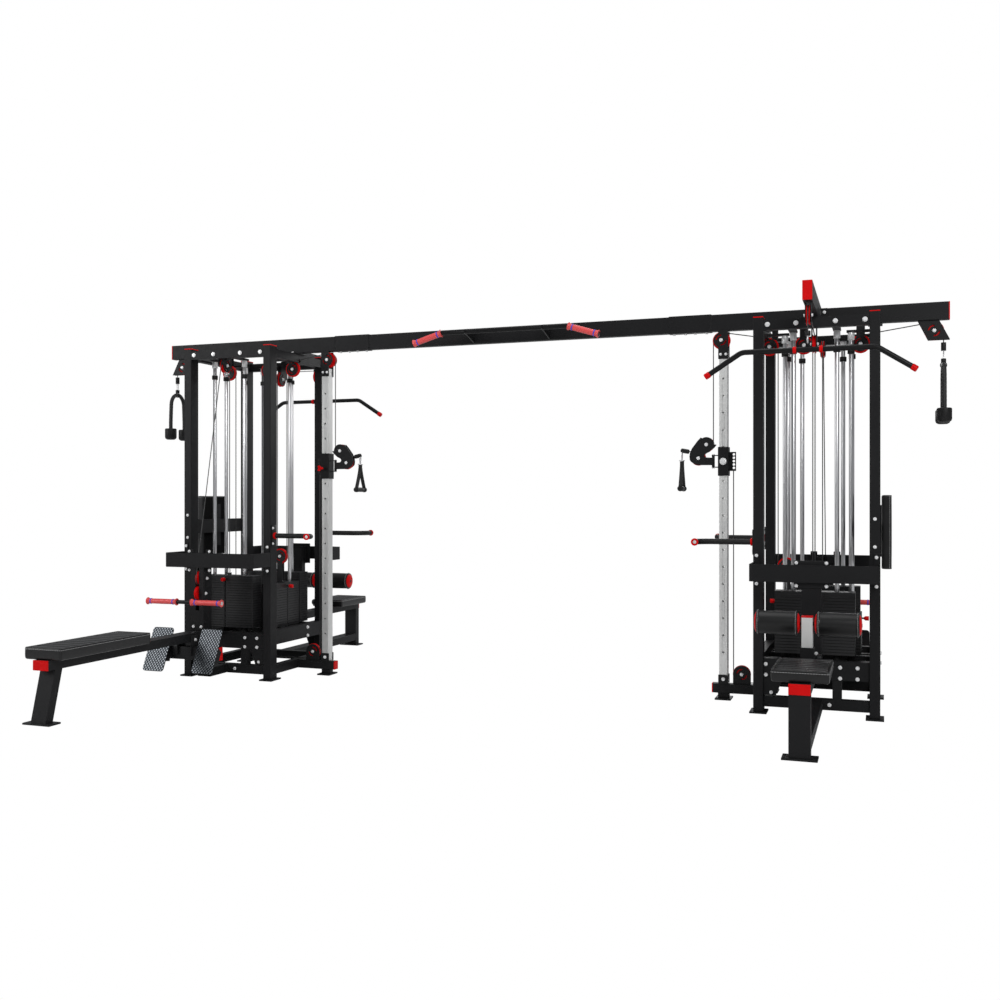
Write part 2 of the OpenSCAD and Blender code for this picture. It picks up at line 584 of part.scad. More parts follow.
// grab bars on the inner posts, reaching towards the machine's middle
module support_handles() color("#1c1c1e") for (t = [a_, b_], s = [-1, 1]) tower(t) {
    y = s * post_y;
    x1 = post_in - post_w / 2;
    x2 = x1 - 229;
    box([x1 - 6, y - 30, 900], [x1, y + 30, 1044]);
    rod_x([x2, y, 972], 229 - 6, 17);
    translate([x2, y + s * 90, 972]) rotate([0, 0, s > 0 ? 180 : 90]) rotate_extrude(angle = 90, $fn = 96)
        translate([90, 0]) circle(r = 17, $fn = 48);
    rod_y([x2 - 90, s > 0 ? y + 90 : y - 117, 972], 27, 17);
    rod_y([x2 - 90, s > 0 ? y + 115 : y - 125, 972], 10, 21);
}

// chin-up bar: a straight middle and two drop ends, with two gusset brackets
module chin_bar() color("#1f2022") {
    bar([-420, -180, 2300], [420, -180, 2300], 16);
    for (s = [-1, 1]) {
        bar([s * 420, -180, 2300], [s * 625, -180, 2238], 16);
        translate([s * 420, -180, 2300]) sphere(r = 16, $fn = 48);
        translate([s * 260 - 4, 0, 0]) rotate([90, 0, 90]) linear_extrude(8)
            polygon([[-25, beam_z + 4], [-25, beam_z + 97], [-150, 2322], [-202, 2312], [-202, 2288], [-150, 2278]]);
    }
}
module chin_grips() color("#e2474a") for (s = [-1, 1]) difference() {
    bar([s * 425, -180, 2298.4], [s * 622, -180, 2239], 19);
    bar([s * 412, -180, 2302.4], [s * 635, -180, 2235], 16.05);
}

module bolts(t) {
    for (s = [-1, 1]) {
        // top rail bolts, posts and guard plates, base rails, outer faces
        for (x = [-262, -106, 106, 262]) bolt_at([mid_x + x, s * post_face, 2208], [0, s, 0], 1.15);
        for (x = s < 0 ? [1650, 1742, 2053, 2145] : [1696, 1790, 2157], z = [219, 280])
            bolt_at([x, s * (post_y + 25), z], [0, s, 0], 0.9);
        bolt_at([1680, s * (post_y + 29), 121], [0, s, 0], 0.8);
        bolt_at([s < 0 ? 1996 : row_xs[t] - 138, s * (post_y + 25), 68], [0, s, 0], 0.9);
        for (k = [-1, 1], z = [737, 897]) bolt_at([mid_x + k * 322, s * (post_face + 6), z], [0, s, 0], 0.8);
        for (z = [248, 307]) bolt_at([s < 0 ? post_in - 25 : post_out + 25, s * 110, z], [s, 0, 0]);
        for (z = [920, 1024]) bolt_at([post_in - post_w / 2 - 6, s * post_y + 20, z], [-1, 0, 0], 0.7);
        // column clamps
        for (x = [-16, 16]) bolt_at([col_x + x, s * (col_d / 2 + 5), 2098], [0, s, 0], 0.7);
        bolt_at([col_x, s * (col_d / 2 + 5), 124], [0, s, 0], 0.9);
        // ends of the bar behind the back pad
        for (z = [954, 1108]) bolt_at([post_out, s * post_face, z], [0, s, 0], 0.8);
        for (z = [954, 1108]) bolt_at([post_out, s * (post_face - post_d - 6), z], [0, -s, 0], 0.8);
        // beam flanges
        for (x = [post_in, post_out]) bolt_at([x, s * 50, beam_z], [0, 0, 1], 0.8);
    }
    for (x = [1060, 1130, 1190, 1260]) bolt_at([x, 0, beam_z - 3], [0, 0, -1], 0.9);
    for (k = [-1, 1]) {
        bolt_at([row_xs[t] + k * 56, 700, 300], [k, 0, 0], 0.9);
        for (z = [2266, 2318]) bolt_at([lat_xs[t] + k * 42, -beam_w / 2 - 8, z], [0, -1, 0], 0.8);
        bolt_at([seat_xs[t] + k * 26, -570, 380], [0, -1, 0], 0.8);
        bolt_at([row_xs[t] + k * 30, 599, 372], [0, 1, 0], 0.8);
        for (z = [745, 870]) {
            bolt_at([seat_xs[t] + k * 79, -576, z], [0, -1, 0], 0.8);
            bolt_at([row_xs[t] + k * 79, 576, z], [0, 1, 0], 0.8);
        }
    }
}
module frame_bolts() color("#e4e6e8") for (t = [a_, b_]) tower(t) bolts(t);

// ---------- pulleys and cables ----------

module idlers(t) {
    for (c = [i1, t2, b1, c2, o1, o2]) { pulley_xz(c); axle_xz(c, 14); }
    pulley_yz(lat_xs[t], -1, l1); axle_yz(lat_xs[t], -1, l1, 15);
    pulley_yz(lat_xs[t], -1, l2); axle_yz(lat_xs[t], -1, l2, 16);
    pulley_yz(row_xs[t], 1, r1); axle_yz(row_xs[t], 1, r1, 15);
    for (c = [r2, r3]) { pulley_yz(row_xs[t], 1, c, row_r); axle_yz(row_xs[t], 1, c, 50); }
    axle_xz(c1, col_d / 2 + 5);
}
module idler_pulleys() color("#c31a1e") for (t = [a_, b_]) tower(t) idlers(t);

module column_top_pulley(t) color("#c31a1e") tower(t) pulley_xz(c1);

module column_cables() color("#202020") for (t = [a_, b_]) tower(t) cable_xz([
    [1146, arm_z, 0], [u1.x, u1.y, small_r], [c1.x, c1.y, -pull_r], [i1.x, i1.y, -pull_r],
    [inner_x, head_pulley_z, pull_r], [t2.x, t2.y, -pull_r], [b1.x, b1.y, -pull_r],
    [c2.x, c2.y, -pull_r], [c2.x - pull_r, 1389, 0]]);
module press_cables() color("#202020") for (t = [a_, b_]) tower(t) cable_xz([
    [outer_x, stack_z + (press_plates + 2) * plate_t + 90, 0], [o1.x, o1.y, -pull_r],
    [o2.x, o2.y, -pull_r], [rope_x, 2112, 0]]);
module lat_cables() color("#202020") for (t = [a_, b_]) tower(t) cable_yz(lat_xs[t], -1, [
    [l1.x - pull_r, wide_top, 0], [l1.x, l1.y, -pull_r], [l2.x, l2.y, -pull_r], [bar_y, 2084, 0]]);
module row_cables() color("#202020") for (t = [a_, b_]) tower(t) cable_yz(row_xs[t], 1, [
    [r1.x - pull_r, wide_top, 0], [r1.x, r1.y, -pull_r], [r3.x, r3.y, row_r], [row_bar_y - 62, row_bar_z, 0]]);

// ---------- column trolley, swivel arm, handle ----------

module trolley(t) color("#1f2022") tower(t) {
    w = col_w / 2 + 0.6;
    d = col_d / 2 + 0.6;
    difference() {
        union() {
            box([col_x - w - 6, -d - 6, sleeve_z0], [col_x + w + 6, d + 6, sleeve_z1]);
            // rear plate that holds the lower cable end, with five setting holes
            box([col_x + w + 6, -4, 1389], [1437, 4, 1505]);
            // knuckles of the swivel hinge
            for (z = [1410, 1482]) {
                box([hinge_x, -10, z], [col_x - w - 6, 10, z + 6]);
                rod_z([hinge_x, 0, z], 6, 10);
            }
            // socket of the pop pin
            rod_y([col_x, d + 6, pin_z], 40, 12);
        }
        box([col_x - w, -d, sleeve_z0 - 1], [col_x + w, d, sleeve_z1 + 1]);
        rod_y([col_x, d - 5, pin_z], 60, 5.1);
        for (z = [1408, 1428.5, 1449, 1469.5, 1490]) rod_y([1424, -10, z], 20, 7.5);
        rod_z([hinge_x, 0, 1400], 120, 4.1);
    }
    bolt_at([col_x, -d - 6, 1447], [0, -1, 0], 1.75);
}
// spring pin that locks the trolley to the column, with a three-sided grip
module pop_pin(t) color("#c31a1e") tower(t) {
    rod_y([col_x, 22, pin_z], 73, 5);
    translate([col_x, 95, pin_z]) rotate([-90, 0, 0]) linear_extrude(16) union() {
        for (a = [60, 180, 300]) rotate(a) translate([13, 0]) circle(r = 8, $fn = 32);
        polygon([[4, -12], [10, -7], [10, 7], [4, 12], [-12, 4], [-12, -4]]);
    }
}
// C-shaped arm: two cheeks on a vertical hinge pin, with two cable pulleys
function arm_outline() = [for (a = [125:-12.5:0]) u1 + 46 * [cos(a), sin(a)],
    [1318, 1551], [1304, 1532], [1290, 1520], [1277, 1509], [1262, 1502], [1252, 1496], [1248, 1488],
    [1249, 1480], [1258, 1473], [1300, 1471], [1300, 1426], [1198, 1427], [1180, 1437], [1166, 1447],
    [1158, 1459], [1156, 1480], [1159, 1501], [1171, 1529], [1207, 1577], [1226, 1596]];
module swivel_arm(t) color("#1f2022") tower(t) {
    for (s = [-1, 1]) translate([0, s * 13 + 2.5, 0]) rotate([90, 0, 0]) linear_extrude(5) difference() {
        polygon(arm_outline());
        for (c = [u1, u2]) translate(c) circle(r = 6, $fn = 32);
    }
    box([1276, -10.5, 1428], [1291, 10.5, 1470]);
    box([1285, -8, 1428], [hinge_x, 8, 1470]);
    rod_z([hinge_x, 0, 1416.5], 65, 9);
    rod_z([hinge_x, 0, 1405], 88, 4);
    for (z = [1405, 1488.5]) rod_z([hinge_x, 0, z], 4.5, 8);
    for (c = [u1, u2]) { pulley_xz(c, small_r); axle_xz(c, 15.5); }
}
// cable stop, spring hook, ring, webbing straps and grip
module stirrup_handle(t) color("#1b1b1d") tower(t) {
    bar([1145.3, 0, arm_z], [1098, 0, arm_z + 9], 13);
    for (z = [1511, 1467]) translate([1108, 0, z]) rotate([0, 90, 0]) rotate_extrude($fn = 48)
        translate([9, 0]) circle(r = 3, $fn = 24);
    for (y = [-9, 9]) rod_z([1108, y, 1467], 44, 2.6);
    translate([1108, 0, 1453]) rotate_extrude($fn = 48) translate([13, 0]) circle(r = 4, $fn = 24);
    rod_z([1108, 0, 1402], 52, 10);
    for (s = [-1, 1]) translate([1097, 0, 0]) rotate([90, 0, 90]) linear_extrude(22)
        polygon([[0, 1414], [s * 12, 1414], [s * 66, 1290], [s * 60, 1284], [s * 54, 1288], [0, 1402]]);
    rod_y([1108, -52, 1283], 104, 14);
    for (s = [-1, 1]) rod_y([1108, s * 61 - 9, 1283], 18, 17);
}

// ---------- bars and rope ----------

module lat_bar(t) color("#26272a") tower(t) translate([lat_xs[t], -bar_y, 0]) {
    bar([-336, 0, bar_z], [336, 0, bar_z], 14);
    for (s = [-1, 1]) {
        bar([s * 336, 0, bar_z], [s * 521, 0, 1871], 14);
        translate([s * 336, 0, bar_z]) sphere(r = 14.4, $fn = 48);
        bar([s * 493, 0, 1888.7], [s * 527, 0, 1867], 16);
        rod_x([s * 66 - 6, 0, bar_z], 12, 18);
    }
    box([-12, -5, bar_z + 10], [12, 5, bar_z + 34]);
    translate([0, 0, 2042]) rotate([0, 90, 0]) rotate_extrude($fn = 48) translate([20, 0]) circle(r = 4.5, $fn = 32);
    rod_z([0, 0, 2064], 20, 10);
}
module row_bar(t) color("#26272a") tower(t) translate([row_xs[t], row_bar_y, row_bar_z]) {
    rod_x([-282, 0, 0], 564, 13);
    for (s = [-1, 1]) {
        for (x = [89, 240]) rod_x([s * x - 5, 0, 0], 10, 18);
        rod_x([s * 165 - 70, 0, 0], 140, 16);
        rod_x([s * 284 - 4, 0, 0], 8, 17);
    }
    box([-12, -26, -5], [12, -8, 5]);
    translate([0, -40, 0]) rotate_extrude($fn = 48) translate([17, 0]) circle(r = 4, $fn = 32);
    rod_y([0, -62, 0], 8, 10);
}

// cable stop, link, eye and the moulded ends of the pull-down rope
module rope_link(t) color("#c9cbcd") tower(t) translate([rope_x, 0, 0]) {
    rod_z([0, 0, 2065], 47, 14);
    for (y = [-7, 7]) rod_z([0, y, 2018], 50, 3);
    rod_z([0, 0, 1998], 22, 14);
    translate([0, 0, rope_top]) rotate([90, 0, 0]) rotate_extrude($fn = 48) translate([17, 0]) circle(r = 2.5, $fn = 24);
    for (s = [-1, 1]) translate([0, s * rope_half, rope_end - 80]) rotate_extrude($fn = 96)
        polygon([[0, 0], [26, 0], [37, 7], [41, 18], [41, 75], [37, 80], [0, 80]]);
}
// one side of the rope: a quarter of an oval at the eye, then nearly straight down
function rope_side(n) = [for (i = [1:n]) [74 * sin(90 * i / n), rope_top - 80 * (1 - cos(90 * i / n))],
    [77, 1850], [79.6, 1790], [rope_half, 1760], [rope_half, rope_end]];
module rope(t) color("#1b1b1b") tower(t) translate([rope_x, 0, 0]) {
    q = rope_side(10);
    m = len(q);
    cord_tube(concat([for (i = [m - 1:-1:0]) [0, -q[i].x, q[i].y]], [[0, 0, rope_top]],
        [for (p = q) [0, p.x, p.y]]), rope_r, [1, 0, 0], 12);
}

module roller_post(t) color("#b9bab8") tower(t) translate([seat_xs[t], -post_roll_y, 0]) {
    difference() {
        tube_z([-27.5, -27.5, 362], [27.5, 27.5, 610], 3);
        rod_x([-40, 0, roll_z], 80, 10.1);
    }
    box([-28.5, -28.5, 610], [28.5, 28.5, 616]);
}
module foam_rollers(t) color("#161616") tower(t) translate([seat_xs[t], -post_roll_y, roll_z]) {
    rod_x([-262, 0, 0], 524, 10);
    for (s = [-1, 1]) {
        rod_x([s * 151.5 - 103.5, 0, 0], 207, 62.5);
        rod_x([s * 258 - 3, 0, 0], 6, 50);
        rod_x([s * 42 - 4, 0, 0], 8, 30);
    }
}

main_beam();
lat_arms();
uprights();
top_rails();
base_rails();
station_struts();
floor_feet();
end_caps();
stack_guards();
station_columns();
pulley_columns();
pulley_brackets();
rod_collars();
guide_rods();
rubber_stops();
weight_plates();
seat_frames();
seat_pads();
bench_pads();
back_pads();
footrests();
support_handles();
chin_bar();
chin_grips();
frame_bolts();
idler_pulleys();
column_cables();
press_cables();
lat_cables();
row_cables();
cable_head(a_);  // cable_head_a
cable_head(b_);  // cable_head_b
press_head(a_);  // press_head_a
press_head(b_);  // press_head_b
lat_head(a_);  // lat_head_a
lat_head(b_);  // lat_head_b
row_head(a_);  // row_head_a
row_head(b_);  // row_head_b
trolley(a_);  // trolley_a
trolley(b_);  // trolley_b
swivel_arm(a_);  // swivel_arm_a
swivel_arm(b_);  // swivel_arm_b
pop_pin(a_);  // pop_pin_a
pop_pin(b_);  // pop_pin_b
stirrup_handle(a_);  // stirrup_handle_a
stirrup_handle(b_);  // stirrup_handle_b
lat_bar(a_);  // lat_bar_a
lat_bar(b_);  // lat_bar_b
row_bar(a_);  // row_bar_a
row_bar(b_);  // row_bar_b
rope_link(a_);  // rope_link_a
rope_link(b_);  // rope_link_b
rope(a_);  // rope_a
rope(b_);  // rope_b
roller_post(a_);  // roller_post_a
roller_post(b_);  // roller_post_b
foam_rollers(a_);  // foam_rollers_a
foam_rollers(b_);  // foam_rollers_b
column_top_pulley(a_);  // column_top_pulley_a
column_top_pulley(b_);  // column_top_pulley_b
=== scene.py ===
import json
import math

import bmesh
import bpy
import numpy as np
from mathutils import Matrix, Vector

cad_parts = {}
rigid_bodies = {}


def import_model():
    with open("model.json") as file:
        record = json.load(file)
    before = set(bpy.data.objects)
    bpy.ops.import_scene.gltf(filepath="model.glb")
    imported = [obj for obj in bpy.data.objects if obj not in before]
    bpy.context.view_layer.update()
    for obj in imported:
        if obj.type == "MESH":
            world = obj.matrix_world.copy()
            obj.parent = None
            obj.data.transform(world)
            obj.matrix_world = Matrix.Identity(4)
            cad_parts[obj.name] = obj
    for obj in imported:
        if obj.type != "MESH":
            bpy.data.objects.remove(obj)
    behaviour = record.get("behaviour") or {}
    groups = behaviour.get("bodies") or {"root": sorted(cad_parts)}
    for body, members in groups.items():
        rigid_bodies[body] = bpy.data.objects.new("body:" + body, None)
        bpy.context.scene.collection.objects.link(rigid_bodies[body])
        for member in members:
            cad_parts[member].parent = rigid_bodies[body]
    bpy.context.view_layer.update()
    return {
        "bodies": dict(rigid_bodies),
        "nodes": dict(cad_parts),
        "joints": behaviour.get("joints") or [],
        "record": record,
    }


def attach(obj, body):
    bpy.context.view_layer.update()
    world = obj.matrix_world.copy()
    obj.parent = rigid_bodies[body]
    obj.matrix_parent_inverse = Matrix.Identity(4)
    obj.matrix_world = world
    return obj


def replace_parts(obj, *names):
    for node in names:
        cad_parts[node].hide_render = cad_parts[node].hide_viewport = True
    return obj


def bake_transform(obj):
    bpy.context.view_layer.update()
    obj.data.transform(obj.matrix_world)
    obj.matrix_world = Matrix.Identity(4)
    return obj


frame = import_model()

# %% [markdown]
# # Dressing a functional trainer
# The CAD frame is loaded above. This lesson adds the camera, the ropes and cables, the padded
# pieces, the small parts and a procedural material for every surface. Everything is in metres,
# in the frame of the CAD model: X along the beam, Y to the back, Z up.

nodes = frame["nodes"]
TOWERS = (("a", -1), ("b", 1))  # tower a is tower b turned half round

# %% [markdown]
# ## Camera and light
# The camera stands at standing height in front of the right half and looks level, so uprights
# stay parallel. Its angle and lens take in the whole machine with a narrow margin. The camera
# sees a paper-white world; the pieces are lit by a dimmer, cooler one and four soft lamps.

# %%
SENSOR_MM, LENS_MM = 36, 38.50
CAMERA_AT = (2.2716, -6.6081, 1.2123)
CAMERA_TURN, LEVEL = 19.6466, 90  # degrees about Z, and the tilt that looks level
WHITE = (1, 1, 1, 1)

scene = bpy.context.scene
cam_data = bpy.data.cameras.new("camera")
cam_data.sensor_width = SENSOR_MM
cam_data.lens = LENS_MM
cam = bpy.data.objects.new("camera", cam_data)
cam.location = CAMERA_AT
cam.rotation_euler = (math.radians(LEVEL), 0, math.radians(CAMERA_TURN))
scene.collection.objects.link(cam)
scene.camera = cam
scene.view_settings.view_transform = "Standard"


def area_light(name, where, aim, size, watts):
    """A round lamp of the given diameter, turned towards aim."""
    data = bpy.data.lights.new(name, "AREA")
    data.shape, data.size, data.energy = "DISK", size, watts
    ob = bpy.data.objects.new(name, data)
    ob.location = where
    ob.rotation_euler = (Vector(aim) - Vector(where)).to_track_quat("-Z", "Y").to_euler()
    scene.collection.objects.link(ob)


def two_looks(tree, output, lit, seen):
    """Shows `seen` to the camera and `lit` to every other ray."""
    tree.nodes.clear()
    out = tree.nodes.new(output)
    mix = tree.nodes.new("ShaderNodeMixShader")
    path = tree.nodes.new("ShaderNodeLightPath")
    tree.links.new(path.outputs["Is Camera Ray"], mix.inputs[0])
    for i, (kind, values) in enumerate((lit, seen)):
        n = tree.nodes.new(kind)
        for key, value in values.items():
            n.inputs[key].default_value = value
        tree.links.new(n.outputs[0], mix.inputs[1 + i])
    tree.links.new(mix.outputs[0], out.inputs[0])


area_light("key", (5.5, -7.5, 5.5), (0, 0, 1.0), 4.0, 300)
area_light("fill", (-6.5, -5.0, 3.5), (-1, 0, 1.2), 4.0, 130)
area_light("top", (0, -0.5, 6.5), (0, 0, 0), 6.0, 120)
area_light("back", (0, 7.0, 4.0), (0, 0, 1.2), 5.0, 110)

world = bpy.data.worlds.new("studio")
scene.world = world
world.use_nodes = True
two_looks(world.node_tree, "ShaderNodeOutputWorld",
          ("ShaderNodeBackground", {"Color": (0.95, 0.97, 1.0, 1), "Strength": 0.30}),
          ("ShaderNodeBackground", {"Color": WHITE, "Strength": 1.0}))
print("camera", tuple(round(v, 3) for v in cam.location), "lens", cam_data.lens)

# %% [markdown]
# ## Shader maths
# A small class wraps a node socket, so that a pattern reads as a formula.

# %%
class Sock:
    """A node output that can be added, multiplied and compared."""

    def __init__(self, mat, out):
        self.mat, self.out = mat, out

    def op(self, kind, *others, clamp=False):
        n = self.mat.nodes.new("ShaderNodeMath")
        n.operation, n.use_clamp = kind, clamp
        for i, v in enumerate((self,) + others):
            if isinstance(v, Sock):
                self.mat.links.new(v.out, n.inputs[i])
            else:
                n.inputs[i].default_value = v
        return Sock(self.mat, n.outputs[0])

    def __add__(self, v): return self.op("ADD", v)
    def __sub__(self, v): return self.op("SUBTRACT", v)
    def __mul__(self, v): return self.op("MULTIPLY", v)
    def __truediv__(self, v): return self.op("DIVIDE", v)
    def abs(self): return self.op("ABSOLUTE")
    def sin(self): return self.op("SINE")
    def wrap(self): return self.op("FRACT")
    def above(self, v): return self.op("GREATER_THAN", v)
    def clip(self): return self.op("ADD", 0.0, clamp=True)
    def most(self, v): return self.op("MAXIMUM", v)


class Mat:
    """A Principled material built up from formulas over the object's own coordinates."""

    def __init__(self, name, base, rough, metal=0.0, coat=0.0, ior=1.5):
        self.m = bpy.data.materials.new(name)
        self.m.use_nodes = True
        self.nodes, self.links = self.m.node_tree.nodes, self.m.node_tree.links
        self.bsdf = self.nodes["Principled BSDF"]
        self.bsdf.inputs["Base Color"].default_value = (*base, 1)
        self.bsdf.inputs["Roughness"].default_value = rough
        self.bsdf.inputs["Metallic"].default_value = metal
        self.bsdf.inputs["Coat Weight"].default_value = coat
        self.bsdf.inputs["Coat Roughness"].default_value = 0.25
        self.bsdf.inputs["IOR"].default_value = ior
        self.coords = self.nodes.new("ShaderNodeTexCoord").outputs["Object"]

    def xyz(self):
        n = self.nodes.new("ShaderNodeSeparateXYZ")
        self.links.new(self.coords, n.inputs[0])
        return [Sock(self, o) for o in n.outputs]

    def noise(self, scale, detail=3, stretch=(1, 1, 1)):
        m = self.nodes.new("ShaderNodeMapping")
        m.inputs["Scale"].default_value = stretch
        self.links.new(self.coords, m.inputs[0])
        n = self.nodes.new("ShaderNodeTexNoise")
        n.inputs["Scale"].default_value = scale
        n.inputs["Detail"].default_value = detail
        self.links.new(m.outputs[0], n.inputs["Vector"])
        return Sock(self, n.outputs[0])

    def cells(self, scale):
        n = self.nodes.new("ShaderNodeTexVoronoi")
        n.inputs["Scale"].default_value = scale
        self.links.new(self.coords, n.inputs["Vector"])
        return Sock(self, n.outputs["Distance"])

    def colour(self, fac, dark, light):
        n = self.nodes.new("ShaderNodeMix")
        n.data_type = "RGBA"
        n.inputs[6].default_value = (*dark, 1)
        n.inputs[7].default_value = (*light, 1)
        self.links.new(fac.out, n.inputs[0])
        self.links.new(n.outputs[2], self.bsdf.inputs["Base Color"])

    def rough(self, fac, low, high):
        self.links.new((fac * (high - low) + low).out, self.bsdf.inputs["Roughness"])

    def bump(self, height, depth, strength):
        n = self.nodes.new("ShaderNodeBump")
        n.inputs["Distance"].default_value = depth
        n.inputs["Strength"].default_value = strength
        self.links.new(height.out, n.inputs["Height"])
        self.links.new(n.outputs[0], self.bsdf.inputs["Normal"])


M = {}


def grey(v):
    return (v, v, v)


def shade(base, f):
    """A colour made f times as bright."""
    return tuple(min(1, c * f) for c in base)


def surface(name, base, rough, tint, gloss, bump, **look):
    """Each of tint, gloss and bump is (noise, value, value). A noise of one number is cells.
    tint goes from dark to light, gloss from low to high, and bump has a depth and a strength."""
    m = Mat(name, base, rough, **look)
    m.colour(m.noise(*tint[0]), *tint[1:])
    if gloss:
        m.rough(m.noise(*gloss[0]), *gloss[1:])
    if bump:
        m.bump(m.noise(*bump[0]) if len(bump[0]) > 1 else m.cells(*bump[0]), *bump[1:])
    M[name] = m.m


print("shader helpers ready")

# %% [markdown]
# ## Materials
# Powder coat with a fine orange peel, satin and bright metal, moulded plastic, grained vinyl with
# its piping, skinned foam and cast plates are noise over a base colour. Bump depths are in metres.

# %%
def powder(name, base, rough=0.42):
    surface(name, base, rough, ((3.5, 4), shade(base, 0.82), shade(base, 1.22)),
            ((30, 5), rough - 0.08, rough + 0.1), ((1400, 2), 0.00012, 0.5), ior=1.27)


def metal(name, base, rough, grain=(700, 3, (1, 1, 0.02)), depth=0.0, spread=0.02, full=1.0):
    """full is the share of metal; depth is 0 where the surface has no grain to feel."""
    surface(name, base, rough, ((2, 2), shade(base, 0.97), shade(base, 1.03)),
            (grain, rough - spread / 2, rough + spread / 2), depth and (grain, depth, 0.4), metal=full)


def plastic(name, base, rough, grain=900, depth=0.00005, ior=1.36):
    surface(name, base, rough, ((9, 3), shade(base, 0.88), shade(base, 1.1)),
            ((60, 4), rough - 0.05, rough + 0.09), ((grain, 2), depth, 0.4), ior=ior)


powder("coat", (0.0120, 0.0120, 0.0128))
powder("coat_plate", (0.0135, 0.0135, 0.0142), 0.4)
powder("bar_coat", (0.009, 0.009, 0.0095), 0.32)
metal("silver", (0.90, 0.90, 0.885), 0.5, spread=0.03)
metal("chrome", (0.74, 0.74, 0.75), 0.3)
metal("zinc", grey(0.97), 0.3, (260, 3), depth=0.00002, spread=0.12, full=0.25)
plastic("red", (0.70, 0.0042, 0.0050), 0.36, ior=1.2)
plastic("black", (0.016, 0.016, 0.017), 0.38)
plastic("ring_blue", (0.10, 0.085, 0.62), 0.4)
plastic("rubber", grey(0.014), 0.62, grain=500)
plastic("grip_red", (0.82, 0.092, 0.092), 0.27, ior=1.45)
plastic("thread", grey(0.36), 0.6)
plastic("boot", grey(0.0095), 0.42, grain=700)
plastic("backing", grey(0.008), 0.85, grain=1200, depth=0.0002, ior=1.15)
surface("vinyl", grey(0.008), 0.32, ((5, 3), grey(0.006), (0.011, 0.011, 0.0115)),
        ((24, 4), 0.24, 0.34), ((520,), 0.00025, 0.45), ior=1.45)
surface("piping", grey(0.010), 0.5, ((40, 3), grey(0.008), grey(0.02)), None, ((800,), 0.0001, 0.4))
surface("foam", grey(0.008), 0.36, ((14, 4), grey(0.007), (0.010, 0.010, 0.0103)),
        ((40, 3), 0.31, 0.37), ((420, 3), 0.0001, 0.3), ior=1.42)
surface("stack", (0.016, 0.016, 0.017), 0.4, ((7, 3), (0.012, 0.012, 0.013), (0.024, 0.024, 0.025)),
        ((90, 3, (1, 1, 6)), 0.3, 0.48), ((500, 3), 0.0002, 0.5), ior=1.4)
print("plain materials", len(M))

# %% [markdown]
# ## Patterned materials
# Coated cable, rope yarn, webbing, the edges of stacked plates and tread plate have a pattern
# over the piece's own coordinates. The plate edges carry painted shade where two plates meet,
# and the tread plate carries painted shade in the valleys between its diamonds.

# %%
CABLE_LAY = 900  # ripples of a cable, radians per metre
m = Mat("cable", grey(0.018), 0.36, coat=0.3)
x, y, z = m.xyz()
m.colour(m.noise(20, 2), grey(0.014), grey(0.03))
m.bump(((x + y + z) * CABLE_LAY).sin(), 0.00015, 0.35)
M["cable"] = m.m

YARN_ROUND, YARN_ALONG = 1500, 620  # plait of the rope, radians per metre
m = Mat("rope_yarn", grey(0.012), 0.55)
_, y, z = m.xyz()
left, right = y * YARN_ROUND - z * YARN_ALONG, y * YARN_ROUND + z * YARN_ALONG
m.colour(m.noise(60, 4), grey(0.007), grey(0.02))
m.rough(m.noise(80, 3), 0.45, 0.65)
m.bump((right.sin() * left.sin()).abs(), 0.0006, 0.6)
M["rope_yarn"] = m.m

WEAVE = 2600  # threads of the webbing, radians per metre
m = Mat("strap", grey(0.012), 0.8)
x, _, z = m.xyz()
m.colour(m.noise(60, 3), grey(0.008), grey(0.020))
m.bump((x * WEAVE).sin() * (z * WEAVE).sin(), 0.0004, 0.6)
M["strap"] = m.m

# edges of the stacked plates: painted shade where two plates meet, lighter in the middle of each plate
PLATE = 0.017  # pitch of the plates
STACK_FOOT, WIDE_FOOT = 0.325, 0.333  # undersides of the middle and the outer stacks
WIDE_FROM = 0.165  # how far out in Y the outer stacks begin
m = Mat("plates", (0.016, 0.016, 0.017), 0.4, ior=1.4)
_, y, z = m.xyz()
level = (z - STACK_FOOT - y.abs().above(WIDE_FROM) * (WIDE_FOOT - STACK_FOOT)) / PLATE
joint_shade_band = (((level.wrap() - 0.5).abs() * 2 - 0.66) * 6).clip()
# painted shade in the band round each joint between plates; the band is also rougher
m.colour(joint_shade_band, (0.023, 0.023, 0.024), (0.003, 0.003, 0.003))
m.rough(joint_shade_band, 0.34, 0.6)
m.bump(m.noise(500, 3), 0.0001, 0.3)
M["plates"] = m.m

# tread plate: raised pointed diamonds, with painted shade darkening the valleys between them
DIAMOND_W, DIAMOND_H = 0.021, 0.022
m = Mat("tread", (0.5, 0.52, 0.55), 0.32, metal=1.0)
x, _, z = m.xyz()
p, q = x / DIAMOND_W + z / DIAMOND_H, x / DIAMOND_W - z / DIAMOND_H
far = (p.wrap() - 0.5).abs().most((q.wrap() - 0.5).abs()) * 2
diamond_rise_and_valley_shade = ((far * -1 + 0.80) * 4).clip()
# painted shade: near-black valleys between the diamonds, lighter raised diamonds
m.colour(diamond_rise_and_valley_shade, (0.014, 0.016, 0.020), (0.20, 0.215, 0.23))
m.rough(m.noise(80, 3), 0.26, 0.42)
m.bump(diamond_rise_and_valley_shade, 0.0012, 0.7)
M["tread"] = m.m
print("materials", len(M))

# %% [markdown]
# ## Mesh helpers
# Every new piece is mesh code: lathed profiles, swept tubes, soft blocks and loose parts joined
# in one mesh. First come the lines and skins that these shapes share.

# %%
DOUBLES = 1e-6  # corners closer than this are one


def tangents(p):
    """The unit direction of a line at each of its points."""
    d = np.gradient(p, axis=0)
    return d / np.linalg.norm(d, axis=1)[:, None]


